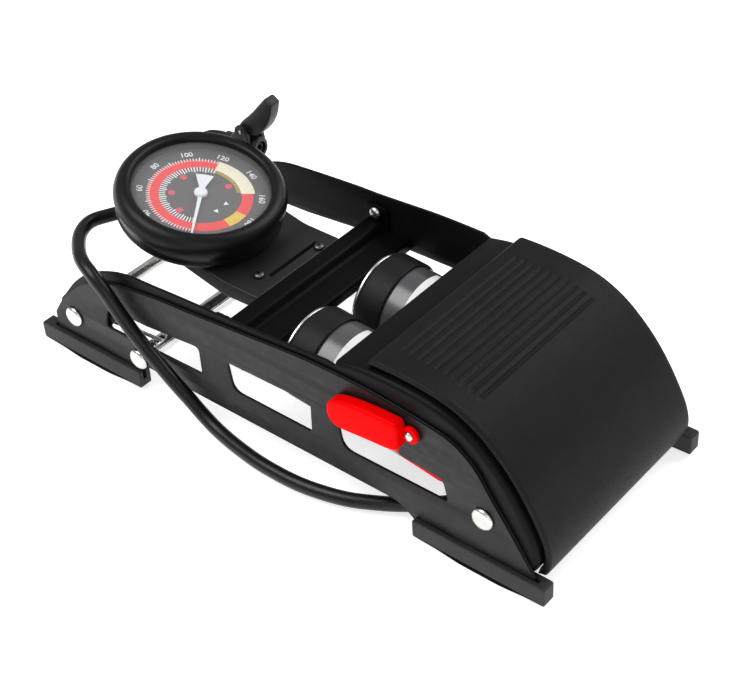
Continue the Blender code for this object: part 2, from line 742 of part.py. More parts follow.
NEEDLE_REST = math.radians(145.0)  # direction of the tip at rest, from +Y towards +X
NEEDLE_T = 0.6
NEEDLE_HEIGHT = 1.3         # middle of the blade above the dial
NEEDLE_BLADE = [  # towards the tip, to the left of that
    (29.2, 0.0), (28.2, 0.4), (3.0, 0.95), (-3.0, 1.1), (-12.6, 4.3), (-12.9, 0),
    (-12.6, -4.3), (-3.0, -1.1), (3.0, -0.95), (28.2, -0.4),
]
BOURDON_R = 20.0
BOURDON_HEIGHT = -4.6


def build_gauge_body():
    dial = pipe(1.7, FACE_R, -0.8, 0)
    turned("gauge_case", GAUGE_CASE, ON_GAUGE, PAINT, steps=36)
    turned("gauge_boot", GAUGE_BOOT, ON_GAUGE, RUBBER, steps=36)
    turned("gauge_dial", dial, ON_GAUGE, DIAL, steps=36)
    turned("gauge_lens", solid(FACE_R, 3.3, 4.2), ON_GAUGE, GLASS, steps=36)
    turned("gauge_stem", GAUGE_STEM, ON_GAUGE, BRASS, steps=6)


def build_needle():
    """A flat blade at its rest direction, joined to a hub that passes through the dial."""
    tip = Vector((math.sin(NEEDLE_REST), math.cos(NEEDLE_REST)))
    left = Vector((-tip.y, tip.x))
    blade = [tip * forward + left * aside for forward, aside in NEEDLE_BLADE]
    frame = ON_GAUGE @ Matrix.Translation((0, 0, NEEDLE_HEIGHT * MM))
    needle = flat("gauge_needle", [blade], NEEDLE_T, frame, WHITE)
    join(needle, turned("needle_hub", NEEDLE_HUB, ON_GAUGE, steps=18))


def build_bourdon_tube():
    points = []
    for i in range(25):
        angle = math.radians(8 + 262 * i / 24)
        x = BOURDON_R * math.cos(angle) * MM
        y = BOURDON_R * math.sin(angle) * MM
        points.append(to_bench(ON_GAUGE @ Vector((x, y, BOURDON_HEIGHT * MM))))
    wire("bourdon_tube", points, 1.2, BRASS)


# ---- hose and gauge tube -------------------------------------------------------
HOSE_R = 3.4
TUBE_R = 2.0
HOSE_LINE = [  # bench x, y, z from the manifold nipple to the chuck
    tuple(NIPPLE + NIPPLE_RUN * 7.0), tuple(NIPPLE + NIPPLE_RUN * 10.5),
    (256.4, -12.4, 9.6), (251.0, -19.0, 7.0), (243, -28.5, 6.0), (232, -40, 5.6),
    (220.5, -48.8, 5.3), (209.6, -55.7, 5.2), (195.3, -62.4, 5.2), (175.4, -66.8, 5.2),
    (154.2, -67.3, 5.2), (136.5, -65.4, 5.3), (122.5, -63.2, 6.2), (113.0, -62.2, 9.6),
    (104.5, -61.9, 14.9), (96.0, -61.9, 20.5), (85.1, -61.9, 28.7), (76.0, -61.9, 35.8),
    (65.9, -61.9, 45.4), (57.1, -61.9, 55.4), (48.6, -61.2, 61.6), (37.9, -57.4, 63.4),
    (27.3, -49.6, 62.8), (19.6, -40.7, 62.3), (16.8, -31.5, 62.0), (19.9, -22.5, 61.6),
    (26.5, -11.5, 61.8), (30.0, 1.0, 62.4), (28.0, 16.0, 63.8), (22.4, 29.5, 66.0),
    (18.6, 39.5, 68.6), (21.0, 46.8, 70.3), (25.6, 49.3, 70.7), (29.8, 49.6, 71.05),
]
TUBE_LINE = [  # bench x, y, z from the manifold to the gauge stem
    (249.0, 0, 22.6), (240, 0, 22.0), (215, 0, 21.0), (180, 0, 21.5), (150, 0, 23.0),
    (120, 0, 27.0), (95, 0, 32.0), (74, 0, 36.0), (61, 0, 39.2), (55.2, 0, 45.4),
    (56.0, 0, 52.5),
]


def build_hoses():
    wire("air_hose", flow(HOSE_LINE), HOSE_R, RUBBER, resolution=2)
    wire("gauge_tube", flow(TUBE_LINE), TUBE_R, RUBBER)


# ---- chuck -------------------------------------------------------------------
CHUCK_RUN = Vector((0.994, 0.06, 0.09)).normalized()
ON_CHUCK = aimed((46.5, 50.6, 72.6), CHUCK_RUN)
CHUCK_PIVOT = (46.0, 50.6, 83.0)
CHUCK_HOLE_R = 1.3
EAR_Y = 4.9                 # middle of an ear, from the pivot
EAR_HALF = 1.1
LEVER_HALF = 3.5
CHUCK_BODY = [  # radius, height
    (0, -16.2), (3.6, -16.2), (4.3, -15.2), (4.3, -11.0), (5.4, -9.6), (6.3, -8.0),
    (6.3, 1.4), (5.6, 2.6), (5.6, 6.0), (4.9, 6.6), (3.4, 6.6), (3.4, -3.0), (0, -3.0),
]
CHUCK_SEAL = [(1.6, -2.6), (3.1, -2.6), (3.1, 5.0), (2.4, 5.6), (1.6, 5.6)]
EAR_OUTLINE = rounded([(40.6, 74.0), (51.4, 74.0), (49.4, 86.0), (42.6, 86.0)], [0, 0, 3.2, 3.2])
LEVER_OUTLINE = rounded(
    [
        (43.6, 80.4), (48.4, 80.4), (55.0, 82.4), (61.4, 89.4), (64.8, 96.2), (66.4, 103.4),
        (62.0, 105.8), (56.6, 99.6), (51.4, 93.6), (44.8, 87.4), (42.4, 84.0),
    ],
    [1.5, 2, 4, 6, 5, 1.2, 1.2, 6, 6, 4, 2], steps=2,
)


def build_chuck():
    """A turned body with two ears for the lever pin, and a seal in its mouth."""
    body = turned("chuck_body", CHUCK_BODY, ON_CHUCK, PLASTIC, steps=20)
    for i, shift in enumerate((-EAR_Y, EAR_Y)):
        y = CHUCK_PIVOT[1] + shift
        join(body, sheet(f"chuck_ear_{i}", EAR_OUTLINE, y - EAR_HALF, y + EAR_HALF))
    frame = along_y(*CHUCK_PIVOT)
    cut(body, turned("ear_bore", solid(CHUCK_HOLE_R, -12, 12), frame))
    turned("chuck_pin", solid(1.0, -6.4, 6.4), frame, STEEL)
    turned("chuck_seal", CHUCK_SEAL, ON_CHUCK, RUBBER, steps=20)


def build_chuck_lever():
    x, y, z = CHUCK_PIVOT
    hole = circle(x, z, CHUCK_HOLE_R)
    sheet("chuck_lever", LEVER_OUTLINE, y - LEVER_HALF, y + LEVER_HALF, PLASTIC, [hole])


# ---- joint axes ----------------------------------------------------------------
def both(*parts):
    return [f"{part}_{side}" for part in parts for side, _ in SIDES]


AXES = {  # name: (bench point, parts that hang from it)
    "axis_arm": ((HINGE[0], 0, HINGE[1]), [
        "pedal_arm", "pedal_cover", "crossbar", *both("crossbar_rivet", "hinge_bush"),
        "gauge_bracket", *both("bracket_screw"), "gauge_case", "gauge_boot", "gauge_dial",
        "gauge_lens", "gauge_stem", "bourdon_tube", "chuck_body", "chuck_pin", "chuck_seal",
    ]),
    "axis_barrels": ((AXLE[0], 0, AXLE[1]), [
        *both("barrel", "head_cap", "gland_ring", "rear_cap", "valve_disc"), "manifold",
    ]),
    "axis_pistons": ((PIN[0], 0, PIN[1]), [
        *both("piston_rod", "piston", "piston_seal"), "piston_axle",
    ]),
    "axis_latch": ((LATCH_PIVOT[0], -PLATE_OUT, LATCH_PIVOT[1]), ["latch_lever"]),
    "axis_needle": (GAUGE, ["gauge_needle"]),
    "axis_chuck_lever": (CHUCK_PIVOT, ["chuck_lever"]),
}


def hang_parts():
    """Moving parts hang from an empty on their axis and stay where they were built."""
    for name, (point, children) in AXES.items():
        empty = bpy.data.objects.new(name, None)
        PARTS.objects.link(empty)
        empty.location = bench(*point)
        empty.empty_display_size = 0.02
        bpy.context.view_layer.update()
        for child in children:
            obj = bpy.data.objects[child]
            obj.parent = empty
            obj.matrix_parent_inverse = empty.matrix_world.inverted()
    bpy.context.view_layer.update()


# ---- assembly ------------------------------------------------------------------
for build in (
    build_side_plate, build_crossbar_rivet, build_hinge_bush, build_return_spring,
    build_barrel, build_rear_cap, build_piston_rod, build_piston,
):
    for side, sign in SIDES:
        build(side, sign)

for name, spot in (("hinge_rod", HINGE), ("lower_rod", LOWER), ("barrel_axle", AXLE)):
    build_peened_rod(name, *spot)

for build in (
    build_spacer_sleeve, build_feet, build_pedal_arm, build_pedal_cover, build_crossbar,
    build_manifold, build_piston_axle, build_latch, build_bracket, build_gauge_body,
    build_needle, build_bourdon_tube, build_hoses, build_chuck, build_chuck_lever, hang_parts,
):
    build()
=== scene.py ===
"""Foot air pump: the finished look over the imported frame.

Two barrels lie side by side in a base frame, under a hinged pedal arm that carries the gauge.
Lengths are in millimetres until bench() or MM turns them into metres. x runs from the hinge end
to the pedal end, y across the pump with the near side at -y, and z up from the floor.
"""

import json
import math

import bmesh
import bpy
from mathutils import Matrix, Vector

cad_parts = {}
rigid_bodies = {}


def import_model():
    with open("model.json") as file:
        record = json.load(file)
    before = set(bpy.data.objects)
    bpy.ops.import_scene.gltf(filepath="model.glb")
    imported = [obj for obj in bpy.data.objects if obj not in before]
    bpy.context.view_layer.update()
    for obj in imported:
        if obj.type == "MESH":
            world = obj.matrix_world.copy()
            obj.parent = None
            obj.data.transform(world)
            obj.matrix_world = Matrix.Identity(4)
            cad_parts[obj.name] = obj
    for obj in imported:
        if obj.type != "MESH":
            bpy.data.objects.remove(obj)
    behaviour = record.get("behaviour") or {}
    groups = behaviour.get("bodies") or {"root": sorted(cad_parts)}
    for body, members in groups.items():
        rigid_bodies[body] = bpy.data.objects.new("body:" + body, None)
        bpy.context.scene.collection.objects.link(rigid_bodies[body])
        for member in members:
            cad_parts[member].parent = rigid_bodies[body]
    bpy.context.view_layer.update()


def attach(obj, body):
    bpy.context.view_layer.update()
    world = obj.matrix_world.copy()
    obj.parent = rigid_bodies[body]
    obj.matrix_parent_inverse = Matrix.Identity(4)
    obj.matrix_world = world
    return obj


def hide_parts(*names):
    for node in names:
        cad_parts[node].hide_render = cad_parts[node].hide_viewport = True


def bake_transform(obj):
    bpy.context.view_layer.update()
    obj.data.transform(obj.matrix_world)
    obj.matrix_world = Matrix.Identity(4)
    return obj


for old in list(bpy.data.objects):
    bpy.data.objects.remove(old)

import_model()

# ---- driving dimensions --------------------------------------------------------
MM = 0.001
GAP = 0.3  # clearance between neighbouring parts
LENGTH = 300.0
SIDE_SHIFT = 5.5  # the pump's middle plane lies this far to +y of the scene's
SIDES = (("near", -1), ("far", 1))

# Cross rods and pivots, as (x, z)
HINGE, LOWER, AXLE, PIN = (24.0, 23.8), (67.0, 18.0), (268.0, 31.5), (132.0, 42.7)
LATCH_PIVOT = (233.0, 59.4)
LATCH_BORE = 1.9
ROD_R = 3.0
ROD_BORE = ROD_R + GAP

# Sheet thickness and distance of the outer face from the middle plane
PLATE_T, PLATE_OUT = 1.5, 57.2
ARM_T, ARM_OUT = 1.5, 55.2
ARM_INSIDE = ARM_OUT - ARM_T - GAP  # half width free between the arm's walls

BARREL_Y, BARREL_R, BARREL_BORE, CAP_R = 24.65, 21.0, 19.5, 22.4
BARREL_SLOPE = math.atan2(PIN[1] - AXLE[1], AXLE[0] - PIN[0])
PIN_TO_AXLE = math.hypot(PIN[1] - AXLE[1], AXLE[0] - PIN[0])
GAUGE, GAUGE_TILT = (61.4, 0.0, 76.9), 12.5  # dial centre, and degrees the face tips


def bench(x, y, z):
    """A point of the pump as a scene point in metres."""
    return Vector(((x - LENGTH / 2) * MM, (y + SIDE_SHIFT) * MM, z * MM))


# ---- materials -----------------------------------------------------------------
def tint(colour, factor):
    return tuple(min(1.0, c * factor) for c in colour)


class Look:
    """Builds one node material around its Principled shader."""

    def __init__(self, name):
        self.made = bpy.data.materials.new(name)
        self.made.use_nodes = True
        self.tree = self.made.node_tree
        self.shader = self.tree.nodes["Principled BSDF"]
        self.where = self.tree.nodes.new("ShaderNodeTexCoord").outputs["Object"]

    def feed(self, socket, value):
        """Link another node's output to a socket, or give it a plain value."""
        if isinstance(value, bpy.types.NodeSocket):
            self.tree.links.new(value, socket)
        else:
            socket.default_value = value

    def set(self, name, value):
        self.feed(self.shader.inputs[name], value)

    def add(self, kind, **inputs):
        node = self.tree.nodes.new(kind)
        for key, value in inputs.items():
            self.feed(node.inputs[key.replace("_", " ")], value)
        return node

    def noise(self, scale, detail=4.0, rough=0.55, stretch=None):
        node = self.add("ShaderNodeTexNoise", Scale=scale, Detail=detail, Roughness=rough)
        where = self.where
        if stretch:
            mapping = self.add("ShaderNodeMapping", Scale=stretch, Vector=where)
            where = mapping.outputs["Vector"]
        self.feed(node.inputs["Vector"], where)
        return node.outputs["Fac"]

    def spread(self, value, to=(0.0, 1.0), over=(0.3, 0.7)):
        """Map the range `over` of a value onto the range `to`."""
        node = self.add(
            "ShaderNodeMapRange",
            From_Min=over[0], From_Max=over[1], To_Min=to[0], To_Max=to[1], Value=value,
        )
        return node.outputs["Result"]

    def mix(self, factor, first, second):
        node = self.tree.nodes.new("ShaderNodeMix")
        node.data_type = "RGBA"
        # Inputs 6 and 7 are the two colours, output 2 the mixed colour.
        for index, value in ((6, first), (7, second)):
            rgba = (*value, 1.0) if isinstance(value, tuple) else value
            self.feed(node.inputs[index], rgba)
        self.feed(node.inputs[0], factor)
        return node.outputs[2]

    def mottled(self, cloud, colour, dark, light):
        """The colour drifting between a darker and a lighter tint."""
        return self.mix(self.spread(cloud), tint(colour, dark), tint(colour, light))

    def bump(self, height, strength, distance, under=None):
        node = self.add("ShaderNodeBump", Strength=strength, Distance=distance, Height=height)
        if under is not None:
            self.feed(node.inputs["Normal"], under)
        return node.outputs["Normal"]

    def rubbed_edges(self, share):
        """A mask of patches along convex edges, up to the given share."""
        product = self.tree.nodes.new("ShaderNodeMath")
        product.operation = "MULTIPLY"
        geometry = self.tree.nodes.new("ShaderNodeNewGeometry")
        edges = self.spread(geometry.outputs["Pointiness"], over=(0.53, 0.6))
        self.feed(product.inputs[0], edges)
        patches = self.spread(self.noise(scale=160), to=(0.0, share), over=(0.42, 0.7))
        self.feed(product.inputs[1], patches)
        return product.outputs[0]


def painted(name, colour, rough, grain=2600, bump=0.12, rubbed=(0.05, 0.05, 0.052),
            coat=0.0, spec=0.5):
    """Powder-coated or sprayed steel: fine orange peel, soft cloudy gloss, rubbed edges."""
    look = Look(name)
    cloud = look.noise(scale=45, detail=3.0)
    fine = look.noise(scale=grain, detail=2.0)
    body = look.mottled(cloud, colour, dark=0.82, light=1.22)
    look.set("Base Color", look.mix(look.rubbed_edges(share=0.35), body, rubbed))
    look.set("Roughness", look.spread(cloud, to=(rough - 0.05, rough + 0.06)))
    look.set("Normal", look.bump(fine, strength=bump, distance=0.00012))
    look.set("Specular IOR Level", spec)
    look.set("Coat Weight", coat)
    look.set("Coat Roughness", 0.25)
    return look.made


def moulded(name, colour, rough, grain=5200, bump=0.2, spec=0.5, dust=0.0):
    """Moulded plastic or rubber: spark-eroded grain, slight flow mottling."""
    look = Look(name)
    cloud = look.noise(scale=70, detail=3.0)
    fine = look.noise(scale=grain, detail=3.0, rough=0.6)
    pores = look.noise(scale=grain * 0.28, detail=2.0)
    body = look.mottled(cloud, colour, dark=0.85, light=1.18)
    if dust:
        specks = look.noise(scale=900, detail=5.0, rough=0.7)
        body = look.mix(look.spread(specks, to=(0.0, dust), over=(0.58, 0.8)), body, (0.2,) * 3)
    look.set("Base Color", body)
    look.set("Roughness", look.spread(pores, to=(rough - 0.05, rough + 0.07)))
    dimples = look.bump(pores, strength=bump * 0.6, distance=0.00025)
    look.set("Normal", look.bump(fine, strength=bump, distance=0.00015, under=dimples))
    look.set("Specular IOR Level", spec)
    return look.made


def metal(name, colour, rough, stretch=(1, 1, 1), scratch=1400, bump=0.05, tarnish=0.12):
    """Plated or turned metal: fine marks and faint tarnish."""
    look = Look(name)
    marks = look.noise(scale=scratch, detail=3.0, rough=0.6, stretch=stretch)
    cloud = look.noise(scale=120)
    dull = tint(colour, 1 - tarnish * 2.2)
    look.set("Base Color", look.mix(look.spread(cloud, over=(0.35, 0.75)), colour, dull))
    look.set("Roughness", look.spread(marks, to=(rough * 0.75, rough * 1.3)))
    look.set("Normal", look.bump(marks, strength=bump, distance=0.00008))
    look.set("Metallic", 1.0)
    return look.made


def printed(name, colour, rough=0.5):
    """A flat ink or card colour with faint mottling."""
    look = Look(name)
    cloud = look.noise(scale=700, rough=0.6)
    look.set("Base Color", look.mottled(cloud, colour, dark=0.92, light=1.06))
    look.set("Roughness", rough)
    fine = look.noise(scale=4200, detail=2.0)
    look.set("Normal", look.bump(fine, strength=0.04, distance=0.00005))
    return look.made


def red_plastic():
    look = Look("latch_red")
    cloud = look.noise(scale=60, detail=2.0)
    red = look.mix(look.spread(cloud), (0.8, 0.0, 0.001), (0.95, 0.001, 0.001))
    look.set("Base Color", red)
    look.set("Roughness", look.spread(look.noise(scale=900, detail=2.0), to=(0.28, 0.36)))
    fine = look.noise(scale=3800, detail=2.0)
    look.set("Normal", look.bump(fine, strength=0.06, distance=0.0001))
    look.set("Specular IOR Level", 0.02)
    look.set("Subsurface Scale", 0.001)
    return look.made


def lens_glass():
    """Thin clear lens: mostly see-through, with faintly smeared gloss."""
    look = Look("lens_clear")
    look.set("Base Color", (1, 1, 1, 1))
    look.set("Roughness", 0.03)
    look.set("IOR", 1.45)
    look.set("Specular IOR Level", 0.12)
    look.set("Alpha", 0.06)
    smear = look.noise(scale=60, detail=2.0, rough=0.5)
    look.set("Roughness", look.spread(smear, to=(0.02, 0.07), over=(0.0, 1.0)))
    return look.made


PAINT = painted("satin_black_paint", (0.0085, 0.0085, 0.0089), rough=0.38, spec=0.2)
# A darker copy of the satin black paint: painted shade on the pedal arm and the gauge case, which
# sit inside the side plates and the boot.
PAINT_SHADED = painted("satin_black_paint_painted_shade", (0.0036, 0.0036, 0.0038), rough=0.42,
                      rubbed=(0.02, 0.02, 0.021), spec=0.1)
# A still darker copy of the same paint: deeper painted shade on the crossbar, down between the
# arm's walls.
PAINT_DEEP_SHADED = painted("satin_black_paint_painted_deep_shade", (0.0022, 0.0022, 0.0023), rough=0.45,
                       rubbed=(0.008, 0.008, 0.008), spec=0.07)
BARREL_PAINT = painted("barrel_grey", (0.08, 0.08, 0.085), rough=0.24,
                       grain=1800, bump=0.05, coat=0.5)
BAND = printed("barrel_white_band", (0.86, 0.86, 0.85), rough=0.35)
CAP = moulded("cap_black", (0.006, 0.006, 0.0065), rough=0.5, bump=0.12, spec=0.22)
PAD = moulded("pedal_black", (0.0064, 0.0064, 0.0068), rough=0.52,
              grain=3600, bump=0.3, spec=0.15)
PLASTIC = moulded("moulded_black", (0.0125, 0.0125, 0.013), rough=0.42, bump=0.12, spec=0.34)
FOOT_GREY = moulded("foot_grey", (0.016, 0.016, 0.0175), rough=0.55, spec=0.3, dust=0.12)
BOOT = moulded("boot_rubber", (0.0042, 0.0042, 0.0045), rough=0.36,
               grain=4200, bump=0.14, spec=0.22)
HOSE = moulded("hose_rubber", (0.0045, 0.0045, 0.0048), rough=0.3,
               grain=3000, bump=0.05, spec=0.32)
SEAL = moulded("seal_rubber", (0.012, 0.012, 0.012), rough=0.6)
STEEL = metal("zinc_steel", (0.76, 0.75, 0.73), rough=0.26)
CHROME = metal("chrome_plate", (0.84, 0.84, 0.86), rough=0.07,
               stretch=(1, 0.06, 1), scratch=900, bump=0.02, tarnish=0.04)
ALLOY = metal("turned_alloy", (0.83, 0.83, 0.84), rough=0.22,
              scratch=1500, bump=0.04, tarnish=0.05)
SPRING = metal("spring_steel", (0.5, 0.5, 0.5), rough=0.32)
DARK_STEEL = metal("blackened_steel", (0.16, 0.16, 0.165), rough=0.34)
BRASS = metal("turned_brass", (0.74, 0.54, 0.24), rough=0.25)
DIAL = printed("dial_grey", (0.06, 0.055, 0.058))
WHITE = printed("print_white", (0.82, 0.84, 0.86))
RED = printed("print_red", (0.82, 0.016, 0.022))
CREAM = printed("print_cream", (0.84, 0.8, 0.62))
YELLOW = printed("print_yellow", (0.74, 0.52, 0.03))
PINK = printed("print_pink", (0.7, 0.03, 0.08))
NEEDLE = printed("needle_white", (0.78, 0.82, 0.86), rough=0.35)
LATCH_RED = red_plastic()
LENS = lens_glass()


# ---- pieces --------------------------------------------------------------------
def piece(name, mesh, look, body, stands_for=None):
    """Show a mesh in one look; it rides on a moving body of the frame if one is named."""
    mesh.name = stands_for or name
    obj = bpy.data.objects.new(name, mesh)
    bpy.context.scene.collection.objects.link(obj)
    mesh.materials.clear()
    mesh.materials.append(look)
    if stands_for:
        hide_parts(stands_for)
    if body:
        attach(obj, body)
    return obj


def part(name, mesh, look, body=None):
    """The finished piece that takes the place of the CAD piece called name."""
    return piece(f"{name}_look", mesh, look, body, name)


# ---- lines and outlines --------------------------------------------------------
def circle(x, z, radius, count=48):
    angles = [2 * math.pi * i / count for i in range(count)]
    return [(x + radius * math.cos(a), z + radius * math.sin(a)) for a in angles]


def arc(centre, radius, degrees):
    x, z = centre
    angles = [math.radians(a) for a in degrees]
    return [(x + radius * math.cos(a), z + radius * math.sin(a)) for a in angles]


def rounded(corners, steps=6):
    """A closed outline of (x, z, corner radius) rows with its corners rounded."""
    out = []
    count = len(corners)
    for i, (x, z, radius) in enumerate(corners):
        here = Vector((x, z))
        before = Vector(corners[i - 1][:2]) - here
        after = Vector(corners[(i + 1) % count][:2]) - here
        reach = min(radius, before.length * 0.45, after.length * 0.45)
        if reach <= 0:
            out.append((x, z))
            continue
        start, end = here + before.normalized() * reach, here + after.normalized() * reach
        for k in range(steps + 1):
            t = k / steps
            point = start * (1 - t) ** 2 + here * 2 * t * (1 - t) + end * t**2
            out.append((point.x, point.y))
    return out


def fillet(profile, radius):
    """Round the corners of a (radius, height) profile, leaving points on the axis."""
    return rounded([(r, height, radius if r > 1e-6 else 0) for r, height in profile], 3)


def flow(points, each=4):
    """A smooth curve through the points, with `each` steps between two of them."""
    knots = [Vector(p) for p in points]
    knots = [knots[0] * 2 - knots[1], *knots, knots[-1] * 2 - knots[-2]]
    out = []
    for i in range(1, len(knots) - 2):
        p0, p1, p2, p3 = knots[i - 1 : i + 3]
        for k in range(each):
            t = k / each
            square = (2 * p0 - 5 * p1 + 4 * p2 - p3) * t**2
            cube = (3 * p1 - p0 - 3 * p2 + p3) * t**3
            out.append(0.5 * ((2 * p1) + (p2 - p0) * t + square + cube))
    out.append(knots[-2])
    return [tuple(p) for p in out]


def even(points, step):
    """The same line with points an even distance apart."""
    knots = [Vector(p) for p in points]
    out, left = [knots[0]], step
    for start, end in zip(knots, knots[1:]):
        run, along = (end - start).length, 0.0
        while run - along >= left:
            along += left
            out.append(start.lerp(end, along / run))
            left = step
        left -= run - along
    if (out[-1] - knots[-1]).length > step * 0.4:
        out.append(knots[-1])
    else:
        out[-1] = knots[-1]
    return [tuple(p) for p in out]


def inset(line, depth):
    """The (x, z) line moved by depth towards its right-hand side."""
    out = []
    for i, (x, z) in enumerate(line):
        ahead, behind = line[min(i + 1, len(line) - 1)], line[max(i - 1, 0)]
        run = (Vector(ahead) - Vector(behind)).normalized()
        out.append((x + run.y * depth, z - run.x * depth))
    return out


def collar(inner, outer, start, end):
    """The square (radius, height) profile of a tube, or of a solid rod if inner is 0."""
    return [(inner, start), (outer, start), (outer, end), (inner, end)]


# ---- meshes --------------------------------------------------------------------
SHARP = 38.0  # degrees between faces above which an edge is shaded sharp


def smooth(mesh, angle=SHARP):
    mesh.shade_smooth()
    mesh.set_sharp_from_angle(angle=math.radians(angle))
    return mesh


def settle(mesh, angle=SHARP):
    """Weld coincident points, turn the faces outwards and shade smooth."""
    shape = bmesh.new()
    shape.from_mesh(mesh)
    bmesh.ops.remove_doubles(shape, verts=shape.verts, dist=2e-6)
    bmesh.ops.recalc_face_normals(shape, faces=shape.faces)
    shape.to_mesh(mesh)
    shape.free()
    return smooth(mesh, angle)


def as_mesh(shape, place=Matrix()):
    mesh = bpy.data.meshes.new("shape")
    shape.to_mesh(mesh)
    shape.free()
    mesh.transform(place)
    return mesh


def helper(data):
    """A passing object that holds a curve or a mesh while it is worked on."""
    obj = bpy.data.objects.new("helper", data)
    bpy.context.scene.collection.objects.link(obj)
    return obj


def baked(source):
    """The evaluated mesh of a helper, which is then removed."""
    graph = bpy.context.evaluated_depsgraph_get()
    mesh = bpy.data.meshes.new_from_object(source.evaluated_get(graph))
    mesh.transform(source.matrix_world)
    bpy.data.objects.remove(source)
    return mesh


def sheet(outline, y_start, y_end, holes=(), *, edge, segments=2):
    """A flat (x, z) outline extruded across the pump, with rounded edges."""
    curve = bpy.data.curves.new("sheet", "CURVE")
    curve.dimensions = "2D"
    curve.fill_mode = "BOTH"
    curve.extrude = (abs(y_end - y_start) / 2 - edge) * MM
    curve.bevel_depth = edge * MM
    curve.bevel_resolution = segments
    curve.offset = -edge * MM
    for loop in (outline, *holes):
        spline = curve.splines.new("POLY")
        spline.points.add(len(loop) - 1)
        for point, (x, z) in zip(spline.points, loop):
            point.co = ((x - LENGTH / 2) * MM, z * MM, 0, 1)
        spline.use_cyclic_u = True
    mesh = baked(helper(curve))
    middle = Matrix.Translation((0, ((y_start + y_end) / 2 + SIDE_SHIFT) * MM, 0))
    mesh.transform(middle @ Matrix.Rotation(math.radians(90), 4, "X"))
    return settle(mesh)


def turned(profile, place, steps=72, angle=SHARP):
    """A closed (radius, height) profile turned about the local z axis of a place."""
    shape = bmesh.new()
    rings = []
    for radius, height in profile:
        ring = []
        for i in range(steps if radius > 1e-6 else 1):
            turn = 2 * math.pi * i / steps
            x, y = radius * MM * math.cos(turn), radius * MM * math.sin(turn)
            ring.append(shape.verts.new((x, y, height * MM)))
        rings.append(ring)
    for low, high in zip(rings, rings[1:] + rings[:1]):
        for i in range(steps):
            j = (i + 1) % steps
            corners = (low[i % len(low)], low[j % len(low)])
            corners += (high[j % len(high)], high[i % len(high)])
            unique = list(dict.fromkeys(corners))
            if len(unique) > 2:
                shape.faces.new(unique)
    return settle(as_mesh(shape, place), angle)


def loft(rings, angle=SHARP):
    """A skin over rings of scene points, closed by flat ends."""
    shape = bmesh.new()
    rings = [[shape.verts.new(point) for point in ring] for ring in rings]
    count = len(rings[0])
    for here, there in zip(rings, rings[1:]):
        for k in range(count):
            after = (k + 1) % count
            shape.faces.new((here[k], here[after], there[after], there[k]))
    shape.faces.new(rings[0][::-1])
    shape.faces.new(rings[-1])
    return settle(as_mesh(shape), angle)


def wire(points, radius, sides):
    """A round bar along scene points, its rings carried along without twist."""
    rings = []
    tangent = (points[1] - points[0]).normalized()
    normal = tangent.orthogonal().normalized()
    for i, point in enumerate(points):
        ahead = points[min(i + 1, len(points) - 1)] - points[max(i - 1, 0)]
        heading = ahead.normalized()
        normal = (tangent.rotation_difference(heading) @ normal).normalized()
        normal = (normal - heading * normal.dot(heading)).normalized()
        tangent = heading
        side = tangent.cross(normal)
        ring = []
        for k in range(sides):
            turn = 2 * math.pi * k / sides
            out = normal * math.cos(turn) + side * math.sin(turn)
            ring.append(point + out * radius * MM)
        rings.append(ring)
    return loft(rings, 50)


def on_bench(points):
    return [bench(*point) for point in points]


def block(low, high, edge):
    """A box between two corners with rounded edges."""
    shape = bmesh.new()
    bmesh.ops.create_cube(shape, size=1.0)
    size = [(b - a) * MM for a, b in zip(low, high)]
    bmesh.ops.scale(shape, vec=size, verts=shape.verts)
    bmesh.ops.bevel(shape, geom=shape.edges[:], offset=edge * MM, segments=3, profile=0.5,
                    affect="EDGES")
    centre = bench(*[(a + b) / 2 for a, b in zip(low, high)])
    return settle(as_mesh(shape, Matrix.Translation(centre)), 40)


def cut(base, cutters):
    """The base mesh with the cutter meshes taken away."""
    obj = helper(base)
    tools = []
    for i, cutter in enumerate(cutters):
        tool = helper(cutter)
        step = obj.modifiers.new(f"cut_{i}", "BOOLEAN")
        step.operation, step.solver, step.object = "DIFFERENCE", "EXACT", tool
        tools.append(tool)
    bpy.context.view_layer.update()
    mesh = baked(obj)
    for tool in tools:
        bpy.data.objects.remove(tool)
    return settle(mesh)


def merged(*meshes):
    shape = bmesh.new()
    for mesh in meshes:
        shape.from_mesh(mesh)
    return smooth(as_mesh(shape))


# ---- places --------------------------------------------------------------------
def along_y(x, y, z, way=1):
    """Local z points to +y, or to -y when way is -1."""
    return Matrix.Translation(bench(x, y, z)) @ Matrix.Rotation(math.radians(-90 * way), 4, "X")


def on_barrel(y):
    """Local z runs from the piston pin down the barrel to its axle."""
    turn = Matrix.Rotation(math.radians(90) + BARREL_SLOPE, 4, "Y")
    return Matrix.Translation(bench(PIN[0], y, PIN[1])) @ turn


def aimed(at, direction):
    """Local z points in the given direction."""
    turn = Vector((0, 0, 1)).rotation_difference(direction)
    return Matrix.Translation(bench(*at)) @ turn.to_matrix().to_4x4()


ON_GAUGE = Matrix.Translation(bench(*GAUGE)) @ Matrix.Rotation(math.radians(GAUGE_TILT), 4, "Y")

# ---- side plates ---------------------------------------------------------------
# Upper edge of the plates as (x, z), from the pedal end to the hinge end
BASE_TOP = [
    (293.2, 11.5), (282.2, 28.5), (271.5, 43.8), (263.0, 56.0), (252, 63.9), (237, 66.8),
    (213, 69.2), (194, 69.7), (173, 69.2), (148, 66.9), (121, 64.3), (105, 62.7),
    (88.7, 61.4), (75.6, 59.8), (62, 57.6), (50, 54.4), (39.5, 49.7), (28.7, 42.2),
    (17.5, 31.2), (10, 20.5),
]
# Lower edge as x, z, corner radius
BASE_LOWER = [
    (9, 6.4, 1), (60, 6.4, 3), (66, 15.7, 4), (224, 15.7, 5), (236, 6.4, 3), (291, 6.4, 2),
]
BASE_OUTLINE = rounded(BASE_LOWER, 4) + flow(BASE_TOP)
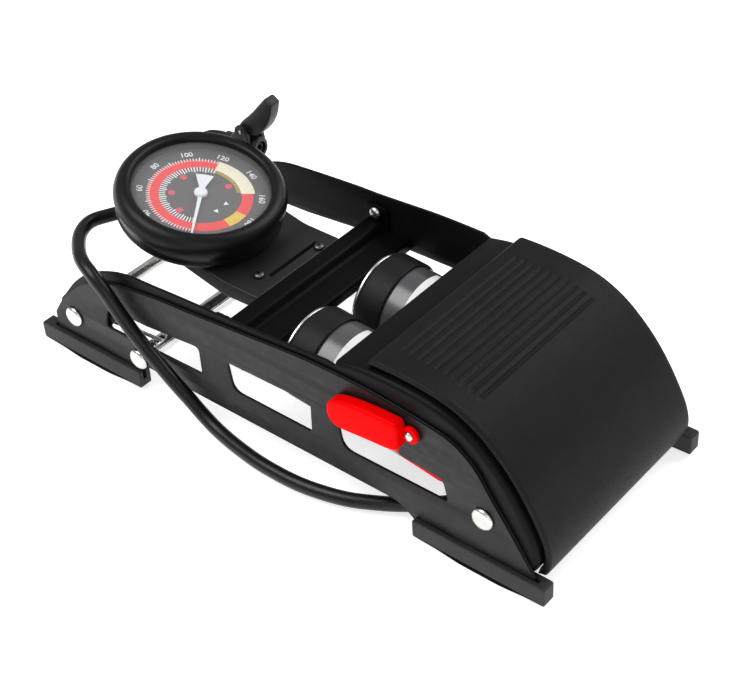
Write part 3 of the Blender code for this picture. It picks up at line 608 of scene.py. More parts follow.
# Windows as x, z, corner radius; the third has a notch behind the latch grip
WINDOWS = (
    [(46.5, 28.0, 4), (109.8, 29.4, 2), (109.8, 45.0, 3), (76, 41.6, 0), (50, 40.5, 5)],
    [(129.5, 29.6, 5), (175.8, 29.4, 2), (176.4, 46.0, 2), (127.3, 45.0, 2)],
    [(193.5, 29.5, 6), (250.0, 30.0, 2), (247.5, 41.2, 3), (224.8, 43.0, 0.5),
     (224.8, 49.4, 1), (206.4, 49.4, 1), (206.4, 43.5, 0.5), (191.5, 43.6, 3)],
)
for side, sign in SIDES:
    holes = [rounded(window, 8) for window in WINDOWS]
    holes += [circle(x, z, ROD_BORE) for x, z in (HINGE, LOWER, AXLE)]
    if side == "near":
        holes.append(circle(*LATCH_PIVOT, LATCH_BORE))
    plate = sheet(BASE_OUTLINE, sign * PLATE_OUT, sign * (PLATE_OUT - PLATE_T), holes, edge=0.3)
    part(f"side_plate_{side}", plate, PAINT, "base")

# ---- cross rods ----------------------------------------------------------------
HEAD_R = 5.3
# Domed rod end as share of the head radius, height outside the plate
DOME = [
    (1, 0), (1, 0.35), (0.985, 0.7), (0.9, 1.224), (0.78, 1.53), (0.55, 1.7), (0.2, 1.7), (0, 1.7),
]
SLEEVE_R, SLEEVE_HALF = 4.6, 53.3


def peened_rod(x, z):
    """A rod through both side plates with a domed head at each end."""
    out = PLATE_OUT + GAP
    head = [(HEAD_R * share, out + height) for share, height in DOME]
    profile = [(r, -height) for r, height in head[::-1]] + [(ROD_R, -out), (ROD_R, out)] + head
    return turned(profile, along_y(x, 0, z), 64)


for name, at in (("hinge_rod", HINGE), ("lower_rod", LOWER), ("barrel_axle", AXLE)):
    part(name, peened_rod(*at), STEEL, "base")
sleeve = fillet(collar(ROD_BORE, SLEEVE_R, -SLEEVE_HALF, SLEEVE_HALF), 0.3)
part("spacer_sleeve", turned(sleeve, along_y(LOWER[0], 0, LOWER[1])), CHROME, "base")

# ---- feet ----------------------------------------------------------------------
FOOT_L, FOOT_IN, FOOT_OUT, FOOT_TOP = 68.0, 52.8, 59.8, 11.4
# Underside as (x, z) from the foot's own start
FOOT_SOLE = [
    (0.4, 1.9), (12, 1.5), (22, 0.35), (27, 0.0), (43, 0.0), (49, 0.45), (58, 1.5), (67.6, 1.9),
]
FOOT_SIDE = flow(FOOT_SOLE) + rounded(
    [(FOOT_L, 2.2, 0.4), (FOOT_L, FOOT_TOP, 1.4), (0, FOOT_TOP, 1.4), (0, 2.2, 0.4)], 5
)
GROOVE_HALF, GROOVE_FLOOR, GROOVE_TOP = 1.05, 6.0, 20.0
# end, start of the foot in x, start and end of the plate's groove measured from there
FEET = (("hinge", 0.0, 7, 73), ("pedal", LENGTH - FOOT_L, -5, 63.5))
for end, start, groove_start, groove_end in FEET:
    for side, sign in SIDES:
        outline = [(start + x, max(z, 0.0)) for x, z in FOOT_SIDE]
        solid = sheet(outline, sign * FOOT_IN, sign * FOOT_OUT, edge=0.5, segments=3)
        middle = sign * (PLATE_OUT - PLATE_T / 2)
        groove = block(
            (start + groove_start, middle - GROOVE_HALF, GROOVE_FLOOR),
            (start + groove_end, middle + GROOVE_HALF, GROOVE_TOP), 0.05,
        )
        part(f"foot_{end}_{side}", cut(solid, [groove]), FOOT_GREY, "base")

# ---- pedal arm -----------------------------------------------------------------
# Top of the pedal as (x, z), from its upper edge down to its lip
PEDAL_LINE = [
    (190.6, 74.6), (200, 76.6), (210, 77.7), (221, 77.9), (233, 77.3), (244, 75.7),
    (253, 72.7), (261, 68.2), (268.5, 61.9), (275, 55.1), (281.5, 46.4), (287.2, 36.8),
    (291.4, 28.2), (293.2, 21.5), (293.0, 16.2), (291.4, 12.4),
]
ARM_LINE = even(flow(PEDAL_LINE, 8), 1.5)
BEND_R = 2.6
FLANGE = 7.0  # depth of the shell's side flanges
LOBE = arc(HINGE, 11.7, range(150, 331, 6))  # wall end round the hinge rod
# Lower edge of the walls in two runs, as x, z, corner radius
WALL_LOWER = [
    (46, 25.5, 3), (56, 38.5, 6), (70, 45.6, 8), (120, 47.4, 0), (185, 50.4, 0),
    (236, 50.6, 10), (252, 46.5, 8), (260.5, 38.0, 3),
]
WALL_TOE = [(263.0, 37.0, 2), (273.4, 37.0, 3), (274.6, 13.5, 2), (289.6, 13.2, 0.6)]
# Upper edge of the walls as (x, z), ending above the hinge
WALL_END = [(38, 54.2), (26.6, 44.6), (16.6, 32.6)]
WALL_TOP = {
    "near": [(186, 73.2), (160, 71.0), (128, 68.6), (110, 67.8), (82.9, 66.0), (64.6, 64.5),
             (51, 60.6), *WALL_END],
    "far": [(186, 74.8), (160, 74.4), (128, 72.2), (110, 71.4), (82.9, 69.4), (64.6, 67.3),
            (51, 62.3), *WALL_END],
}


def bend(thick, steps=5):
    """Quarter bend at the far side as (y, depth), from the wall up to the top."""
    out = []
    reach = BEND_R - thick
    for k in range(steps + 1):
        a = math.radians(90 * k / steps)
        y = ARM_OUT - BEND_R + reach * math.cos(a)
        out.append((y, 0.05 + BEND_R - reach * math.sin(a)))
    return out


def arm_shell():
    """The bent top: a closed (y, depth) section carried along the arm line."""
    outer, inner = bend(0.0), bend(ARM_T)
    section = [(ARM_OUT, FLANGE), *outer, *[(-y, depth) for y, depth in outer[::-1]]]
    section += [(-ARM_OUT, FLANGE), (-ARM_OUT + ARM_T, FLANGE)]
    section += [(-y, depth) for y, depth in inner] + inner[::-1] + [(ARM_OUT - ARM_T, FLANGE)]
    levels = {depth: inset(ARM_LINE, depth) for _, depth in section}
    rings = []
    for i in range(len(ARM_LINE)):
        rings.append([bench(levels[depth][i][0], y, levels[depth][i][1]) for y, depth in section])
    return loft(rings)


def arm_wall(side, sign):
    under_top = inset(ARM_LINE, 3.0)[-2:0:-1]
    outline = LOBE + rounded(WALL_LOWER) + rounded(WALL_TOE) + under_top + flow(WALL_TOP[side])
    outside, inside = sign * (ARM_OUT - 0.01), sign * (ARM_OUT - ARM_T + 0.01)
    return sheet(outline, outside, inside, [circle(*HINGE, ROD_BORE)], edge=0.25)


arm_meshes = [arm_shell(), *[arm_wall(side, sign) for side, sign in SIDES]]
part("pedal_arm", merged(*arm_meshes), PAINT_SHADED, "arm")

# ---- pedal cover ---------------------------------------------------------------
PAD_NEAR, PAD_FAR = 52.4, 54.6  # reach to the near and to the far side
PAD_LIFT = 4.3  # top face above the arm line
PAD_START = 206.0
PAD_LIP = (291.0, 11.0)
PAD_LEAST = 0.35  # least thickness
SIDE_ROUND, START_ROUND, END_ROUND = 1.8, 2.2, 2.0
UNDER_INSET = 1.7
LIP_HALF, LIP_TOP = 52.2, 14.0  # below this height the far edge is held in to this y
GROOVE_START, GROOVE_PITCH, GROOVES = 9.0, 4.45, 10
GROOVE_DEPTH, GROOVE_WIDTH = 0.75, 0.72
GROOVE_REACH, GROOVE_FADE = 40.0, 0.45  # where the grooves die out across the pedal


def round_over(radius, past):
    """Drop of a rounded edge at a distance past the start of its rounding."""
    return radius - math.sqrt(max(0.0, radius**2 - past**2))


def pad_dip(run, y, length):
    """How far the pad's top lies below its full height."""
    beside = max(0.0, -y - (PAD_NEAR - SIDE_ROUND), y - (PAD_FAR - SIDE_ROUND))
    down = round_over(SIDE_ROUND, min(SIDE_ROUND, beside))
    down += round_over(START_ROUND, max(0.0, START_ROUND - run))
    down += round_over(END_ROUND, max(0.0, run - (length - END_ROUND)))
    fade = 1.0 / (1.0 + math.exp((abs(y) - GROOVE_REACH) / GROOVE_FADE))
    centres = [GROOVE_START + GROOVE_PITCH * i for i in range(GROOVES)]
    groove = max(math.exp(-(((run - centre) / GROOVE_WIDTH) ** 4)) for centre in centres)
    return min(down, 3.4) + GROOVE_DEPTH * groove * fade


def pad_columns():
    """Stations across the pad, closer where its shape changes."""
    columns = []
    y = -PAD_NEAR
    while y < PAD_FAR - 0.01:
        columns.append(y)
        clear = min(abs(y + PAD_NEAR), abs(y - PAD_FAR), abs(abs(y) - GROOVE_REACH))
        y += 0.35 if clear < 3.0 else 2.0
    columns.append(PAD_FAR)
    return columns


def pad_cover():
    """The moulded slab: grip grooves across its top and rounded edges."""
    line = [(x, z) for x, z in even(flow(PEDAL_LINE, 8), 0.5) if x > PAD_START]
    line.append(PAD_LIP)
    top, under = inset(line, -PAD_LIFT), inset(line, -GAP)
    runs = [0.0]
    for here, there in zip(top, top[1:]):
        runs.append(runs[-1] + (Vector(there) - Vector(here)).length)
    columns = pad_columns()
    shape = bmesh.new()
    grid, low = [], []
    for run, below, above in zip(runs, under, top):
        foot = Vector(below)
        rise = Vector(above) - foot
        out = rise.normalized()
        row, low_row = [], []
        for y in columns:
            point = foot + out * max(PAD_LEAST, rise.length - pad_dip(run, y, runs[-1]))
            lean = 1.0 if point.y > LIP_TOP or y < LIP_HALF else LIP_HALF / y
            low_y = min(y * (PAD_NEAR - UNDER_INSET) / PAD_NEAR, 52.0)
            row.append(shape.verts.new(bench(point.x, y * lean, point.y)))
            low_row.append(shape.verts.new(bench(foot.x, low_y, foot.y)))
        grid.append(row)
        low.append(low_row)
    face = shape.faces.new
    for i in range(len(line) - 1):
        j = i + 1
        for k in range(len(columns) - 1):
            face((grid[i][k], grid[i][k + 1], grid[j][k + 1], grid[j][k]))
            face((low[i][k], low[j][k], low[j][k + 1], low[i][k + 1]))
        face((grid[i][0], grid[j][0], low[j][0], low[i][0]))
        face((grid[i][-1], low[i][-1], low[j][-1], grid[j][-1]))
    for k in range(len(columns) - 1):
        face((grid[0][k], low[0][k], low[0][k + 1], grid[0][k + 1]))
        face((grid[-1][k], grid[-1][k + 1], low[-1][k + 1], low[-1][k]))
    return settle(as_mesh(shape), 60)


part("pedal_cover", pad_cover(), PAD, "arm")

# ---- crossbar ------------------------------------------------------------------
# Stepped channel section: outer run, then inner run, as x, z, corner radius
BAR_OUTER = [
    (119.6, 49.0, 0.2), (119.6, 59.2, 1.6), (128.4, 59.2, 1.6),
    (130.6, 54.6, 1.8), (144.6, 54.6, 1.8), (144.6, 49.0, 0.2),
]
BAR_INNER = [
    (142.8, 49.0, 0.2), (142.8, 52.8, 1.0), (129.4, 52.8, 1.4),
    (127.2, 57.4, 1.4), (121.4, 57.4, 1.0), (121.4, 49.0, 0.2),
]
TAB = [(118.4, 50.0, 1), (131.5, 50.0, 1), (131.5, 67.0, 3), (118.4, 67.0, 3)]
TAB_T = 1.8
TAB_RIVET, TAB_HOLE_R = (124.6, 62.9), 1.9
bar_outline = rounded(BAR_OUTER, 5) + rounded(BAR_INNER, 5)
bar_meshes = [sheet(bar_outline, -ARM_INSIDE, ARM_INSIDE, edge=0.2)]
for side, sign in SIDES:
    tab_hole = circle(*TAB_RIVET, TAB_HOLE_R)
    tab_in = sign * (ARM_INSIDE - TAB_T)
    bar_meshes.append(sheet(rounded(TAB), sign * ARM_INSIDE, tab_in, [tab_hole], edge=0.3))
part("crossbar", merged(*bar_meshes), PAINT_DEEP_SHADED, "arm")

# Rivet head as radius, height from the face it sits on
RIVET_HEAD = [(0, -1.7), (1.4, -1.65), (2.3, -1.35), (2.9, -0.8), (3.1, -0.25), (3.1, 0), (1.5, 0)]
BUSH = [(ROD_BORE, 0), (6.6, 0), (6.6, 1.2), (5.0, 1.2), (5.0, 4.8), (ROD_BORE, 4.8)]
for side, sign in SIDES:
    seat = ARM_INSIDE - TAB_T - GAP
    tip = ARM_INSIDE + 0.15
    rivet = [(r, seat + height) for r, height in RIVET_HEAD] + [(1.5, tip), (0, tip)]
    place = along_y(TAB_RIVET[0], 0, TAB_RIVET[1], sign)
    part(f"crossbar_rivet_{side}", turned(rivet, place, 36), STEEL, "arm")
    place = along_y(HINGE[0], sign * ARM_INSIDE, HINGE[1], -sign)
    part(f"hinge_bush_{side}", turned(fillet(BUSH, 0.3), place, 48), PLASTIC, "arm")

# ---- return springs ------------------------------------------------------------
COIL_R, COIL_PITCH, COIL_TURNS, COIL_STEPS = 5.6, 2.3, 5, 28
COIL_Y = 46.6  # outer end of the coil
PART_TURN = 0.46  # last part of a turn, up to the upper leg


def spring_points(sign):
    """Lower leg, coil round the hinge rod, then the upper leg to the crossbar."""
    first = sign * COIL_Y
    points = [(73.0, first, 24.9), (60.0, first, 23.6), (40.0, first, 20.6)]
    points.append((HINGE[0] + 4, first, HINGE[1] - COIL_R))
    begin, end = math.radians(-90), math.radians(-90 - 360 * COIL_TURNS - 166)
    turns = COIL_TURNS + PART_TURN
    count = int(turns * COIL_STEPS)
    for i in range(count + 1):
        t = i / count
        a = begin + (end - begin) * t
        y = first - sign * COIL_PITCH * turns * t
        points.append((HINGE[0] + COIL_R * math.cos(a), y, HINGE[1] + COIL_R * math.sin(a)))
    upper_leg = ((30.0, 30.3), (44.0, 33.2), (80.0, 39.7), (112.0, 45.6), (122.6, 46.9))
    return points + [(x, y, z) for x, z in upper_leg]


for side, sign in SIDES:
    mesh = wire(on_bench(spring_points(sign)), radius=0.9, sides=12)
    spring = part(f"return_spring_{side}", mesh, SPRING)
    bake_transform(spring)

# ---- barrels -------------------------------------------------------------------
# Heights run along the barrel from the piston pin.
BARREL_START = 21.0
REAR = PIN_TO_AXLE - 18.2
BAND_START, BAND_END = 41.0, 48.0
BAND_FROM, BAND_TO = 62.0, 152.0  # degrees from +y towards +z
# Turned parts as radius, height
HEAD_CAP = [
    (4.5, 17.6), (20.6, 17.6), (21.9, 18.0), (CAP_R, 19.2), (CAP_R, 31.2), (22.1, 31.8),
    (BARREL_R + GAP, 31.8), (BARREL_R + GAP, 20.7), (4.5, 20.7),
]
GLAND = [(4.6, 15.5), (20.2, 15.5), (21.0, 16.1), (21.0, 17.3), (4.6, 17.3)]
REAR_CAP = [
    (0, REAR - 4.0), (BARREL_BORE - GAP, REAR - 4.0), (BARREL_BORE - GAP, REAR + GAP),
    (BARREL_R, REAR + GAP), (BARREL_R, REAR + 4.4), (20.4, REAR + 5.3), (19.6, REAR + 5.6),
    (0, REAR + 5.6),
]
VALVE_DISC = [
    (0, REAR - 5.6), (6.2, REAR - 5.6), (6.5, REAR - 5.3), (6.5, REAR - 4.3), (0, REAR - 4.3),
]
LUG_R, LUG_BACK, LUG_HALF = 7.4, 14.2, 6.5
LUG = [
    (AXLE[0] - LUG_BACK, AXLE[1] - 7.2), (AXLE[0] - 3, AXLE[1] - LUG_R),
    *arc(AXLE, LUG_R, range(-70, 91, 8)),
    (AXLE[0] - LUG_BACK, AXLE[1] + 8.6),
]


def band_patch(place, steps=40):
    """The thin printed patch on the upper part of a barrel."""
    shape = bmesh.new()
    turn = place.to_3x3().normalized().inverted()
    rows = []
    for i in range(steps + 1):
        a = math.radians(BAND_FROM + (BAND_TO - BAND_FROM) * i / steps)
        way = turn @ Vector((0, math.cos(a), math.sin(a)))
        way.z = 0
        way.normalize()
        edge = BARREL_R + 0.02
        crest = BARREL_R + (0.04 if i in (0, steps) else 0.1)
        section = (
            (edge, BAND_START), (crest, BAND_START + 0.1), (crest, BAND_END - 0.1), (edge, BAND_END)
        )
        rows.append([shape.verts.new((way.x * r * MM, way.y * r * MM, h * MM)) for r, h in section])
    for here, there in zip(rows, rows[1:]):
        for k in range(3):
            shape.faces.new((here[k], here[k + 1], there[k + 1], there[k]))
    return settle(as_mesh(shape, place))


for side, sign in SIDES:
    y = sign * BARREL_Y
    place = on_barrel(y)
    barrel = turned(collar(BARREL_R, BARREL_BORE, BARREL_START, REAR), place, 96)
    part(f"barrel_{side}", barrel, BARREL_PAINT, "barrels")
    piece(f"barrel_band_{side}", band_patch(place), BAND, "barrels")
    part(f"head_cap_{side}", turned(fillet(HEAD_CAP, 0.5), place, 96), CAP, "barrels")
    part(f"gland_ring_{side}", turned(fillet(GLAND, 0.4), place, 96), ALLOY, "barrels")
    lug = sheet(LUG, y - LUG_HALF, y + LUG_HALF, [circle(*AXLE, ROD_BORE)], edge=0.4)
    part(f"rear_cap_{side}", merged(turned(REAR_CAP, place, 96), lug), CAP, "barrels")
    part(f"valve_disc_{side}", turned(VALVE_DISC, place, 40), SEAL, "barrels")

# ---- manifold ------------------------------------------------------------------
NIPPLE = Vector((261.0, -4.0, 21.5))
NIPPLE_RUN = Vector((-0.22, -0.45, -0.86)).normalized()
HOSE_NIPPLE = [(0, -3), (2.5, -3), (2.5, 6.2), (2.2, 6.5), (0, 6.5)]
TUBE_NIPPLE = [(0, -6.4), (1.3, -6.4), (1.6, -6.1), (1.6, 3), (0, 3)]
towards_pedal = Matrix.Rotation(math.radians(90), 4, "Y")
manifold = merged(
    block((255.6, -17.6, 18.6), (265.6, 17.6, 27.4), 1.0),
    turned(HOSE_NIPPLE, aimed(NIPPLE, NIPPLE_RUN), 32),
    turned(TUBE_NIPPLE, Matrix.Translation(bench(256, 0, 22.6)) @ towards_pedal, 24),
)
part("manifold", manifold, CAP, "barrels")

# ---- pistons -------------------------------------------------------------------
PISTON_ROD = collar(0, 3.9, 4.0, 99.7)
ROD_EYE = fillet(collar(ROD_BORE, 6.6, -5.0, 5.0), 0.5)
PISTON = [
    (0, 100.0), (18.9, 100.0), (18.9, 103.0), (16.4, 103.0), (16.4, 106.4), (18.9, 106.4),
    (18.9, 109.6), (0, 109.6),
]
PISTON_SEAL = [
    (16.7, 103.3), (18.8, 103.4), (19.2, 104.0), (19.2, 105.4), (18.8, 106.0), (16.7, 106.1),
]
PISTON_AXLE = [(0, -53.1), (2.6, -53.1), (ROD_R, -52.7), (ROD_R, 52.7), (2.6, 53.1), (0, 53.1)]
for side, sign in SIDES:
    y = sign * BARREL_Y
    place = on_barrel(y)
    rod = turned(PISTON_ROD, place, 48)
    eye = turned(ROD_EYE, along_y(PIN[0], y, PIN[1]), 48)
    part(f"piston_rod_{side}", merged(rod, eye), CHROME, "pistons")
    part(f"piston_{side}", turned(PISTON, place, 64), PLASTIC, "pistons")
    part(f"piston_seal_{side}", turned(PISTON_SEAL, place, 64), SEAL, "pistons")
part("piston_axle", turned(PISTON_AXLE, along_y(PIN[0], 0, PIN[1]), 48), STEEL, "pistons")

# ---- latch, on the near side plate ---------------------------------------------
# Outlines as x, z, corner radius
GRIP = [
    (191.6, 54.5, 4), (193.4, 50.2, 3), (198.2, 48.2, 4), (213.4, 49.8, 6), (224.0, 50.6, 5),
    (229.6, 52.0, 3), (230.2, 57.0, 3), (230.2, 62.5, 3), (229.4, 66.2, 3), (216.3, 65.9, 6),
    (206.0, 64.9, 6), (197.0, 63.2, 5), (192.4, 60.0, 4),
]
TAIL = [
    (208.0, 46.6, 1), (217, 43.4, 1), (224.5, 39.6, 1), (234, 38.3, 1), (244.0, 36.8, 1),
    (246.4, 37.6, 1), (246.2, 40.0, 1), (239, 43.0, 1), (230, 46.0, 1), (221, 49.2, 1),
    (208.0, 49.2, 1),
]
LATCH_RIVET = [
    (0, -0.25), (1.5, -0.25), (1.5, 4.1), (2.1, 4.1), (2.0, 4.5), (1.6, 4.9), (0.9, 5.05), (0, 5.1),
]


def at_latch(y):
    """On the latch pivot, with local z pointing out to the near side."""
    return along_y(LATCH_PIVOT[0], y, LATCH_PIVOT[1], -1)


latch = merged(
    sheet(rounded(GRIP, 8), -PLATE_OUT - 7.0, -PLATE_OUT - 0.4, edge=1.5, segments=5),
    turned(fillet(collar(LATCH_BORE, 4.0, 0.4, 2.6), 0.5), at_latch(-PLATE_OUT), 48),
    block((209.0, -PLATE_OUT - 2.4, 46.9), (218.0, -PLATE_OUT - 0.45, 52.0), 0.4),
    block((208.5, -PLATE_OUT - 2.6, 46.4), (218.5, -52.5, 48.8), 0.4),
    sheet(rounded(TAIL, 4), -54.9, -52.4, edge=0.4),
)
part("latch_lever", latch, LATCH_RED, "latch")
part("latch_rivet", turned(LATCH_RIVET, at_latch(-PLATE_OUT + 1.2), 40), STEEL, "base")

# ---- gauge bracket -------------------------------------------------------------
BRACKET_START, BRACKET_KNEE, BRACKET_END = 47, 97, 119.0
BRACKET_NEAR, BRACKET_FAR = -26.0, 31.6
SCREWS = (("near", 108.1, -13.0), ("far", 116.0, 20.0))  # side, x, y


def bracket_top(x):
    """Top of the bracket: parallel to the gauge up to the knee, then level."""
    slope = math.tan(math.radians(GAUGE_TILT))
    return GAUGE[2] - 11.6 - slope * (min(x, BRACKET_KNEE) - GAUGE[0])


def on_bracket(x, y):
    return Matrix.Translation(bench(x, y, bracket_top(x)))


BRACKET = [
    (BRACKET_START, bracket_top(BRACKET_START) - 8.0, 3),
    (BRACKET_KNEE, 49.4, 4),
    (BRACKET_END, 50.4, 1),
    (BRACKET_END, bracket_top(BRACKET_END), 1.5),
    (BRACKET_KNEE, bracket_top(BRACKET_KNEE), 3),
    (BRACKET_START, bracket_top(BRACKET_START), 2.5),
]
SCREW = [
    (0, -6.5), (1.5, -6.5), (1.5, GAP + 0.25), (2.5, GAP + 0.25), (2.5, 1.1), (2.3, 1.5),
    (1.8, 1.8), (0.75, 1.9), (0.75, 1.0), (0, 1.0),
]
bracket = sheet(rounded(BRACKET, 5), BRACKET_NEAR, BRACKET_FAR, edge=0.9, segments=3)
cutters = [turned(collar(0, 5.9, -40, 0), ON_GAUGE, 48)]  # hole for the gauge stem
for side, x, y in SCREWS:
    cutters.append(turned(collar(0, 1.9, -7, 9), on_bracket(x, y), 32))
cutters.append(block((110.9, -10.0, 54.6), (113.2, 23.0, 80.0), 0.2))  # groove across the top
part("gauge_bracket", cut(bracket, cutters), PLASTIC, "arm")
for side, x, y in SCREWS:
    part(f"bracket_screw_{side}", turned(SCREW, on_bracket(x, y), 32), DARK_STEEL, "arm")

# ---- gauge ---------------------------------------------------------------------
# Turned parts as radius, height above the dial face
CASE = [
    (5.6, -11.0), (34.0, -11.0), (35.0, -10.0), (35.0, 3.2), (33.4, 3.2), (33.4, -9.5), (5.6, -9.5),
]
BOOT_PROFILE = [
    (32.8, 4.4), (32.85, 5.5), (33.2, 6.4), (33.9, 7.05), (34.9, 7.35), (36.2, 7.4),
    (37.9, 6.8), (39.1, 5.8), (40.0, 4.5), (40.6, 3.0), (41.0, 1.2), (40.9, -0.6),
    (40.5, -2.2), (40.0, -3.8), (39.6, -4.9), (39.5, -5.5), (39.6, -6.3), (39.9, -7.4),
    (39.6, -8.6), (38.9, -9.6), (37.8, -10.2), (35.3, -10.2), (35.3, 4.4),
]
LENS_PROFILE = [(0, 3.3), (33.0, 3.3), (33.0, 4.1), (32.8, 4.2), (0, 4.25)]
part("gauge_case", turned(fillet(CASE, 0.4), ON_GAUGE, 128), PAINT_SHADED, "arm")
part("gauge_boot", turned(BOOT_PROFILE, ON_GAUGE, 160, angle=50), BOOT, "arm")
part("gauge_dial", turned(collar(1.7, 33.0, -0.8, 0), ON_GAUGE, 128), DIAL, "arm")
part("gauge_lens", turned(LENS_PROFILE, ON_GAUGE, 128), LENS, "arm")


# ---- dial print ----------------------------------------------------------------
def at_angle(degrees, radius):
    """Dial position: degrees clockwise seen from above, from the far side."""
    a = math.radians(degrees)
    return Vector((math.sin(a) * radius, math.cos(a) * radius))


def flat(polygons, height=0.05, thick=0.05):
    """Thin plates in the shape of dial polygons."""
    shape = bmesh.new()
    for polygon in polygons:
        low = [shape.verts.new((p[0] * MM, p[1] * MM, height * MM)) for p in polygon]
        high = [shape.verts.new((p[0] * MM, p[1] * MM, (height + thick) * MM)) for p in polygon]
        shape.faces.new(high)
        shape.faces.new(low[::-1])
        for i in range(len(low)):
            j = (i + 1) % len(low)
            shape.faces.new((low[i], low[j], high[j], high[i]))
    bmesh.ops.recalc_face_normals(shape, faces=shape.faces)
    return as_mesh(shape, ON_GAUGE)


def band(start, end, inner, outer):
    """Quads round part of the dial, clockwise."""
    steps = int((end - start) / 2)
    angles = [start + (end - start) * i / steps for i in range(steps + 1)]
    return [
        [at_angle(a, inner), at_angle(b, inner), at_angle(b, outer), at_angle(a, outer)]
        for a, b in zip(angles, angles[1:])
    ]


def tick(degrees, inner, outer, width):
    out = at_angle(degrees, 1.0)
    side = Vector((out.y, -out.x)) * width / 2
    return [out * inner - side, out * inner + side, out * outer + side, out * outer - side]


def print_on_dial(name, mesh, look):
    piece(name, mesh, look, "arm")


BAND_IN, BAND_OUT = 19.4, 24.8
SCALE_START = 145
# name, look, start and end in degrees, inner and outer radius
BANDS = (
    ("dial_red_low", RED, SCALE_START, 337, BAND_IN, BAND_OUT),
    ("dial_cream", CREAM, 337, 401, BAND_IN - 0.3, BAND_OUT + 0.9),
    ("dial_red_high", RED, 401, 438, BAND_IN, BAND_OUT),
    ("dial_yellow", YELLOW, 438, 463, BAND_IN, BAND_OUT),
    ("dial_red_end", RED, 463, 505, BAND_IN, BAND_OUT),
)
for name, look, *span in BANDS:
    print_on_dial(name, flat(band(*span), 0.04), look)


def white_ticks():
    """Ticks outside the band, then ticks inside it, both up to the cream part."""
    ticks = []
    for i in range(81):
        degrees = SCALE_START + i * 272 / 80
        rise, width = (1.6, 0.66) if i % 10 == 0 else (0.9, 0.5)
        if degrees <= 338:
            ticks.append(tick(degrees, BAND_OUT - 1.0, BAND_OUT + rise, width))
    for i in range(46):
        degrees = 148 + i * 4.41
        drop, width = (3.4, 0.68) if i % 4 == 0 else (2.8, 0.58)
        if degrees < 340:
            ticks.append(tick(degrees, BAND_IN - drop, BAND_IN + 0.2, width))
    return ticks


print_on_dial("dial_ticks", flat(white_ticks()), WHITE)
amber = [tick(340 + 3.53 * i, BAND_IN - 2.2, BAND_IN - 0.2, 0.5) for i in range(17)]
print_on_dial("dial_ticks_amber", flat(amber), YELLOW)

# Centres of the round dots and the triangles as degrees, radius
DOTS = ((282, 14.3), (229.5, 13.7), (178, 14.7), (19.3, 14.8))
TRIANGLES = ((102, 12.9), (71, 13.0))
dots = [[at_angle(*at) + at_angle(k * 30, 1.75) for k in range(12)] for at in DOTS]
print_on_dial("dial_dots", flat(dots), PINK)
marks = [[at_angle(*at) + at_angle(k * 120 + at[0], 1.5) for k in range(3)] for at in TRIANGLES]
print_on_dial("dial_marks", flat(marks), WHITE)

NUMBER_START, NUMBER_STEP, NUMBER_R, NUMBER_SIZE = 161.4, 35.3, 28.7, 4.3


def numeral(text, degrees):
    curve = bpy.data.curves.new("numeral", "FONT")
    curve.body = text
    curve.size = NUMBER_SIZE * MM
    curve.align_x = "CENTER"
    curve.align_y = "CENTER"
    curve.extrude = 0.03 * MM
    curve.offset = 0.09 * MM
    curve.resolution_u = 3
    mesh = baked(helper(curve))
    out = at_angle(degrees, NUMBER_R)
    place = Matrix.Translation((out.x * MM, out.y * MM, 0.08 * MM))
    mesh.transform(ON_GAUGE @ place @ Matrix.Rotation(-math.radians(degrees), 4, "Z"))
    return mesh


numbers = [numeral(str(20 * i), NUMBER_START + NUMBER_STEP * (i - 1)) for i in range(1, 10)]
print_on_dial("dial_numbers", merged(*numbers), WHITE)

# ---- gauge needle and works ----------------------------------------------------
# Needle outline as distance towards the tip, distance sideways
BLADE = [
    (29.2, 0.0), (28.2, 0.42), (3.0, 0.95), (-3.0, 1.1), (-12.6, 4.3), (-12.9, 0),
    (-12.6, -4.3), (-3.0, -1.1), (3.0, -0.95), (28.2, -0.42),
]
HUB = [(0, -6.2), (1.2, -6.2), (1.2, 0.6), (3.2, 0.6), (3.3, 2.1), (2.4, 2.8), (0, 2.9)]
STEM = [
    (0, -24.4), (1.7, -24.4), (1.7, -19.5), (5.4, -19.5), (5.4, -12.2), (5.3, -12.2),
    (5.3, -8.2), (4.4, -7.4), (0, -7.4),
]
tip = at_angle(SCALE_START, 1.0)
left = Vector((-tip.y, tip.x))
blade = flat([[tip * ahead + left * aside for ahead, aside in BLADE]], height=1.0, thick=0.6)
needle = merged(blade, turned(fillet(HUB, 0.3), ON_GAUGE, 48))
part("gauge_needle", needle, NEEDLE, "needle")
part("gauge_stem", turned(fillet(STEM, 0.2), ON_GAUGE, 6, angle=20), BRASS, "arm")

BOURDON_R, BOURDON_HEIGHT = 20, -4.6
bourdon = []
for i in range(61):
    a = math.radians(8 + 262 * i / 60)
    x, y = BOURDON_R * math.cos(a) * MM, BOURDON_R * math.sin(a) * MM
    bourdon.append(ON_GAUGE @ Vector((x, y, BOURDON_HEIGHT * MM)))
part("bourdon_tube", wire(bourdon, radius=1.2, sides=12), BRASS, "arm")

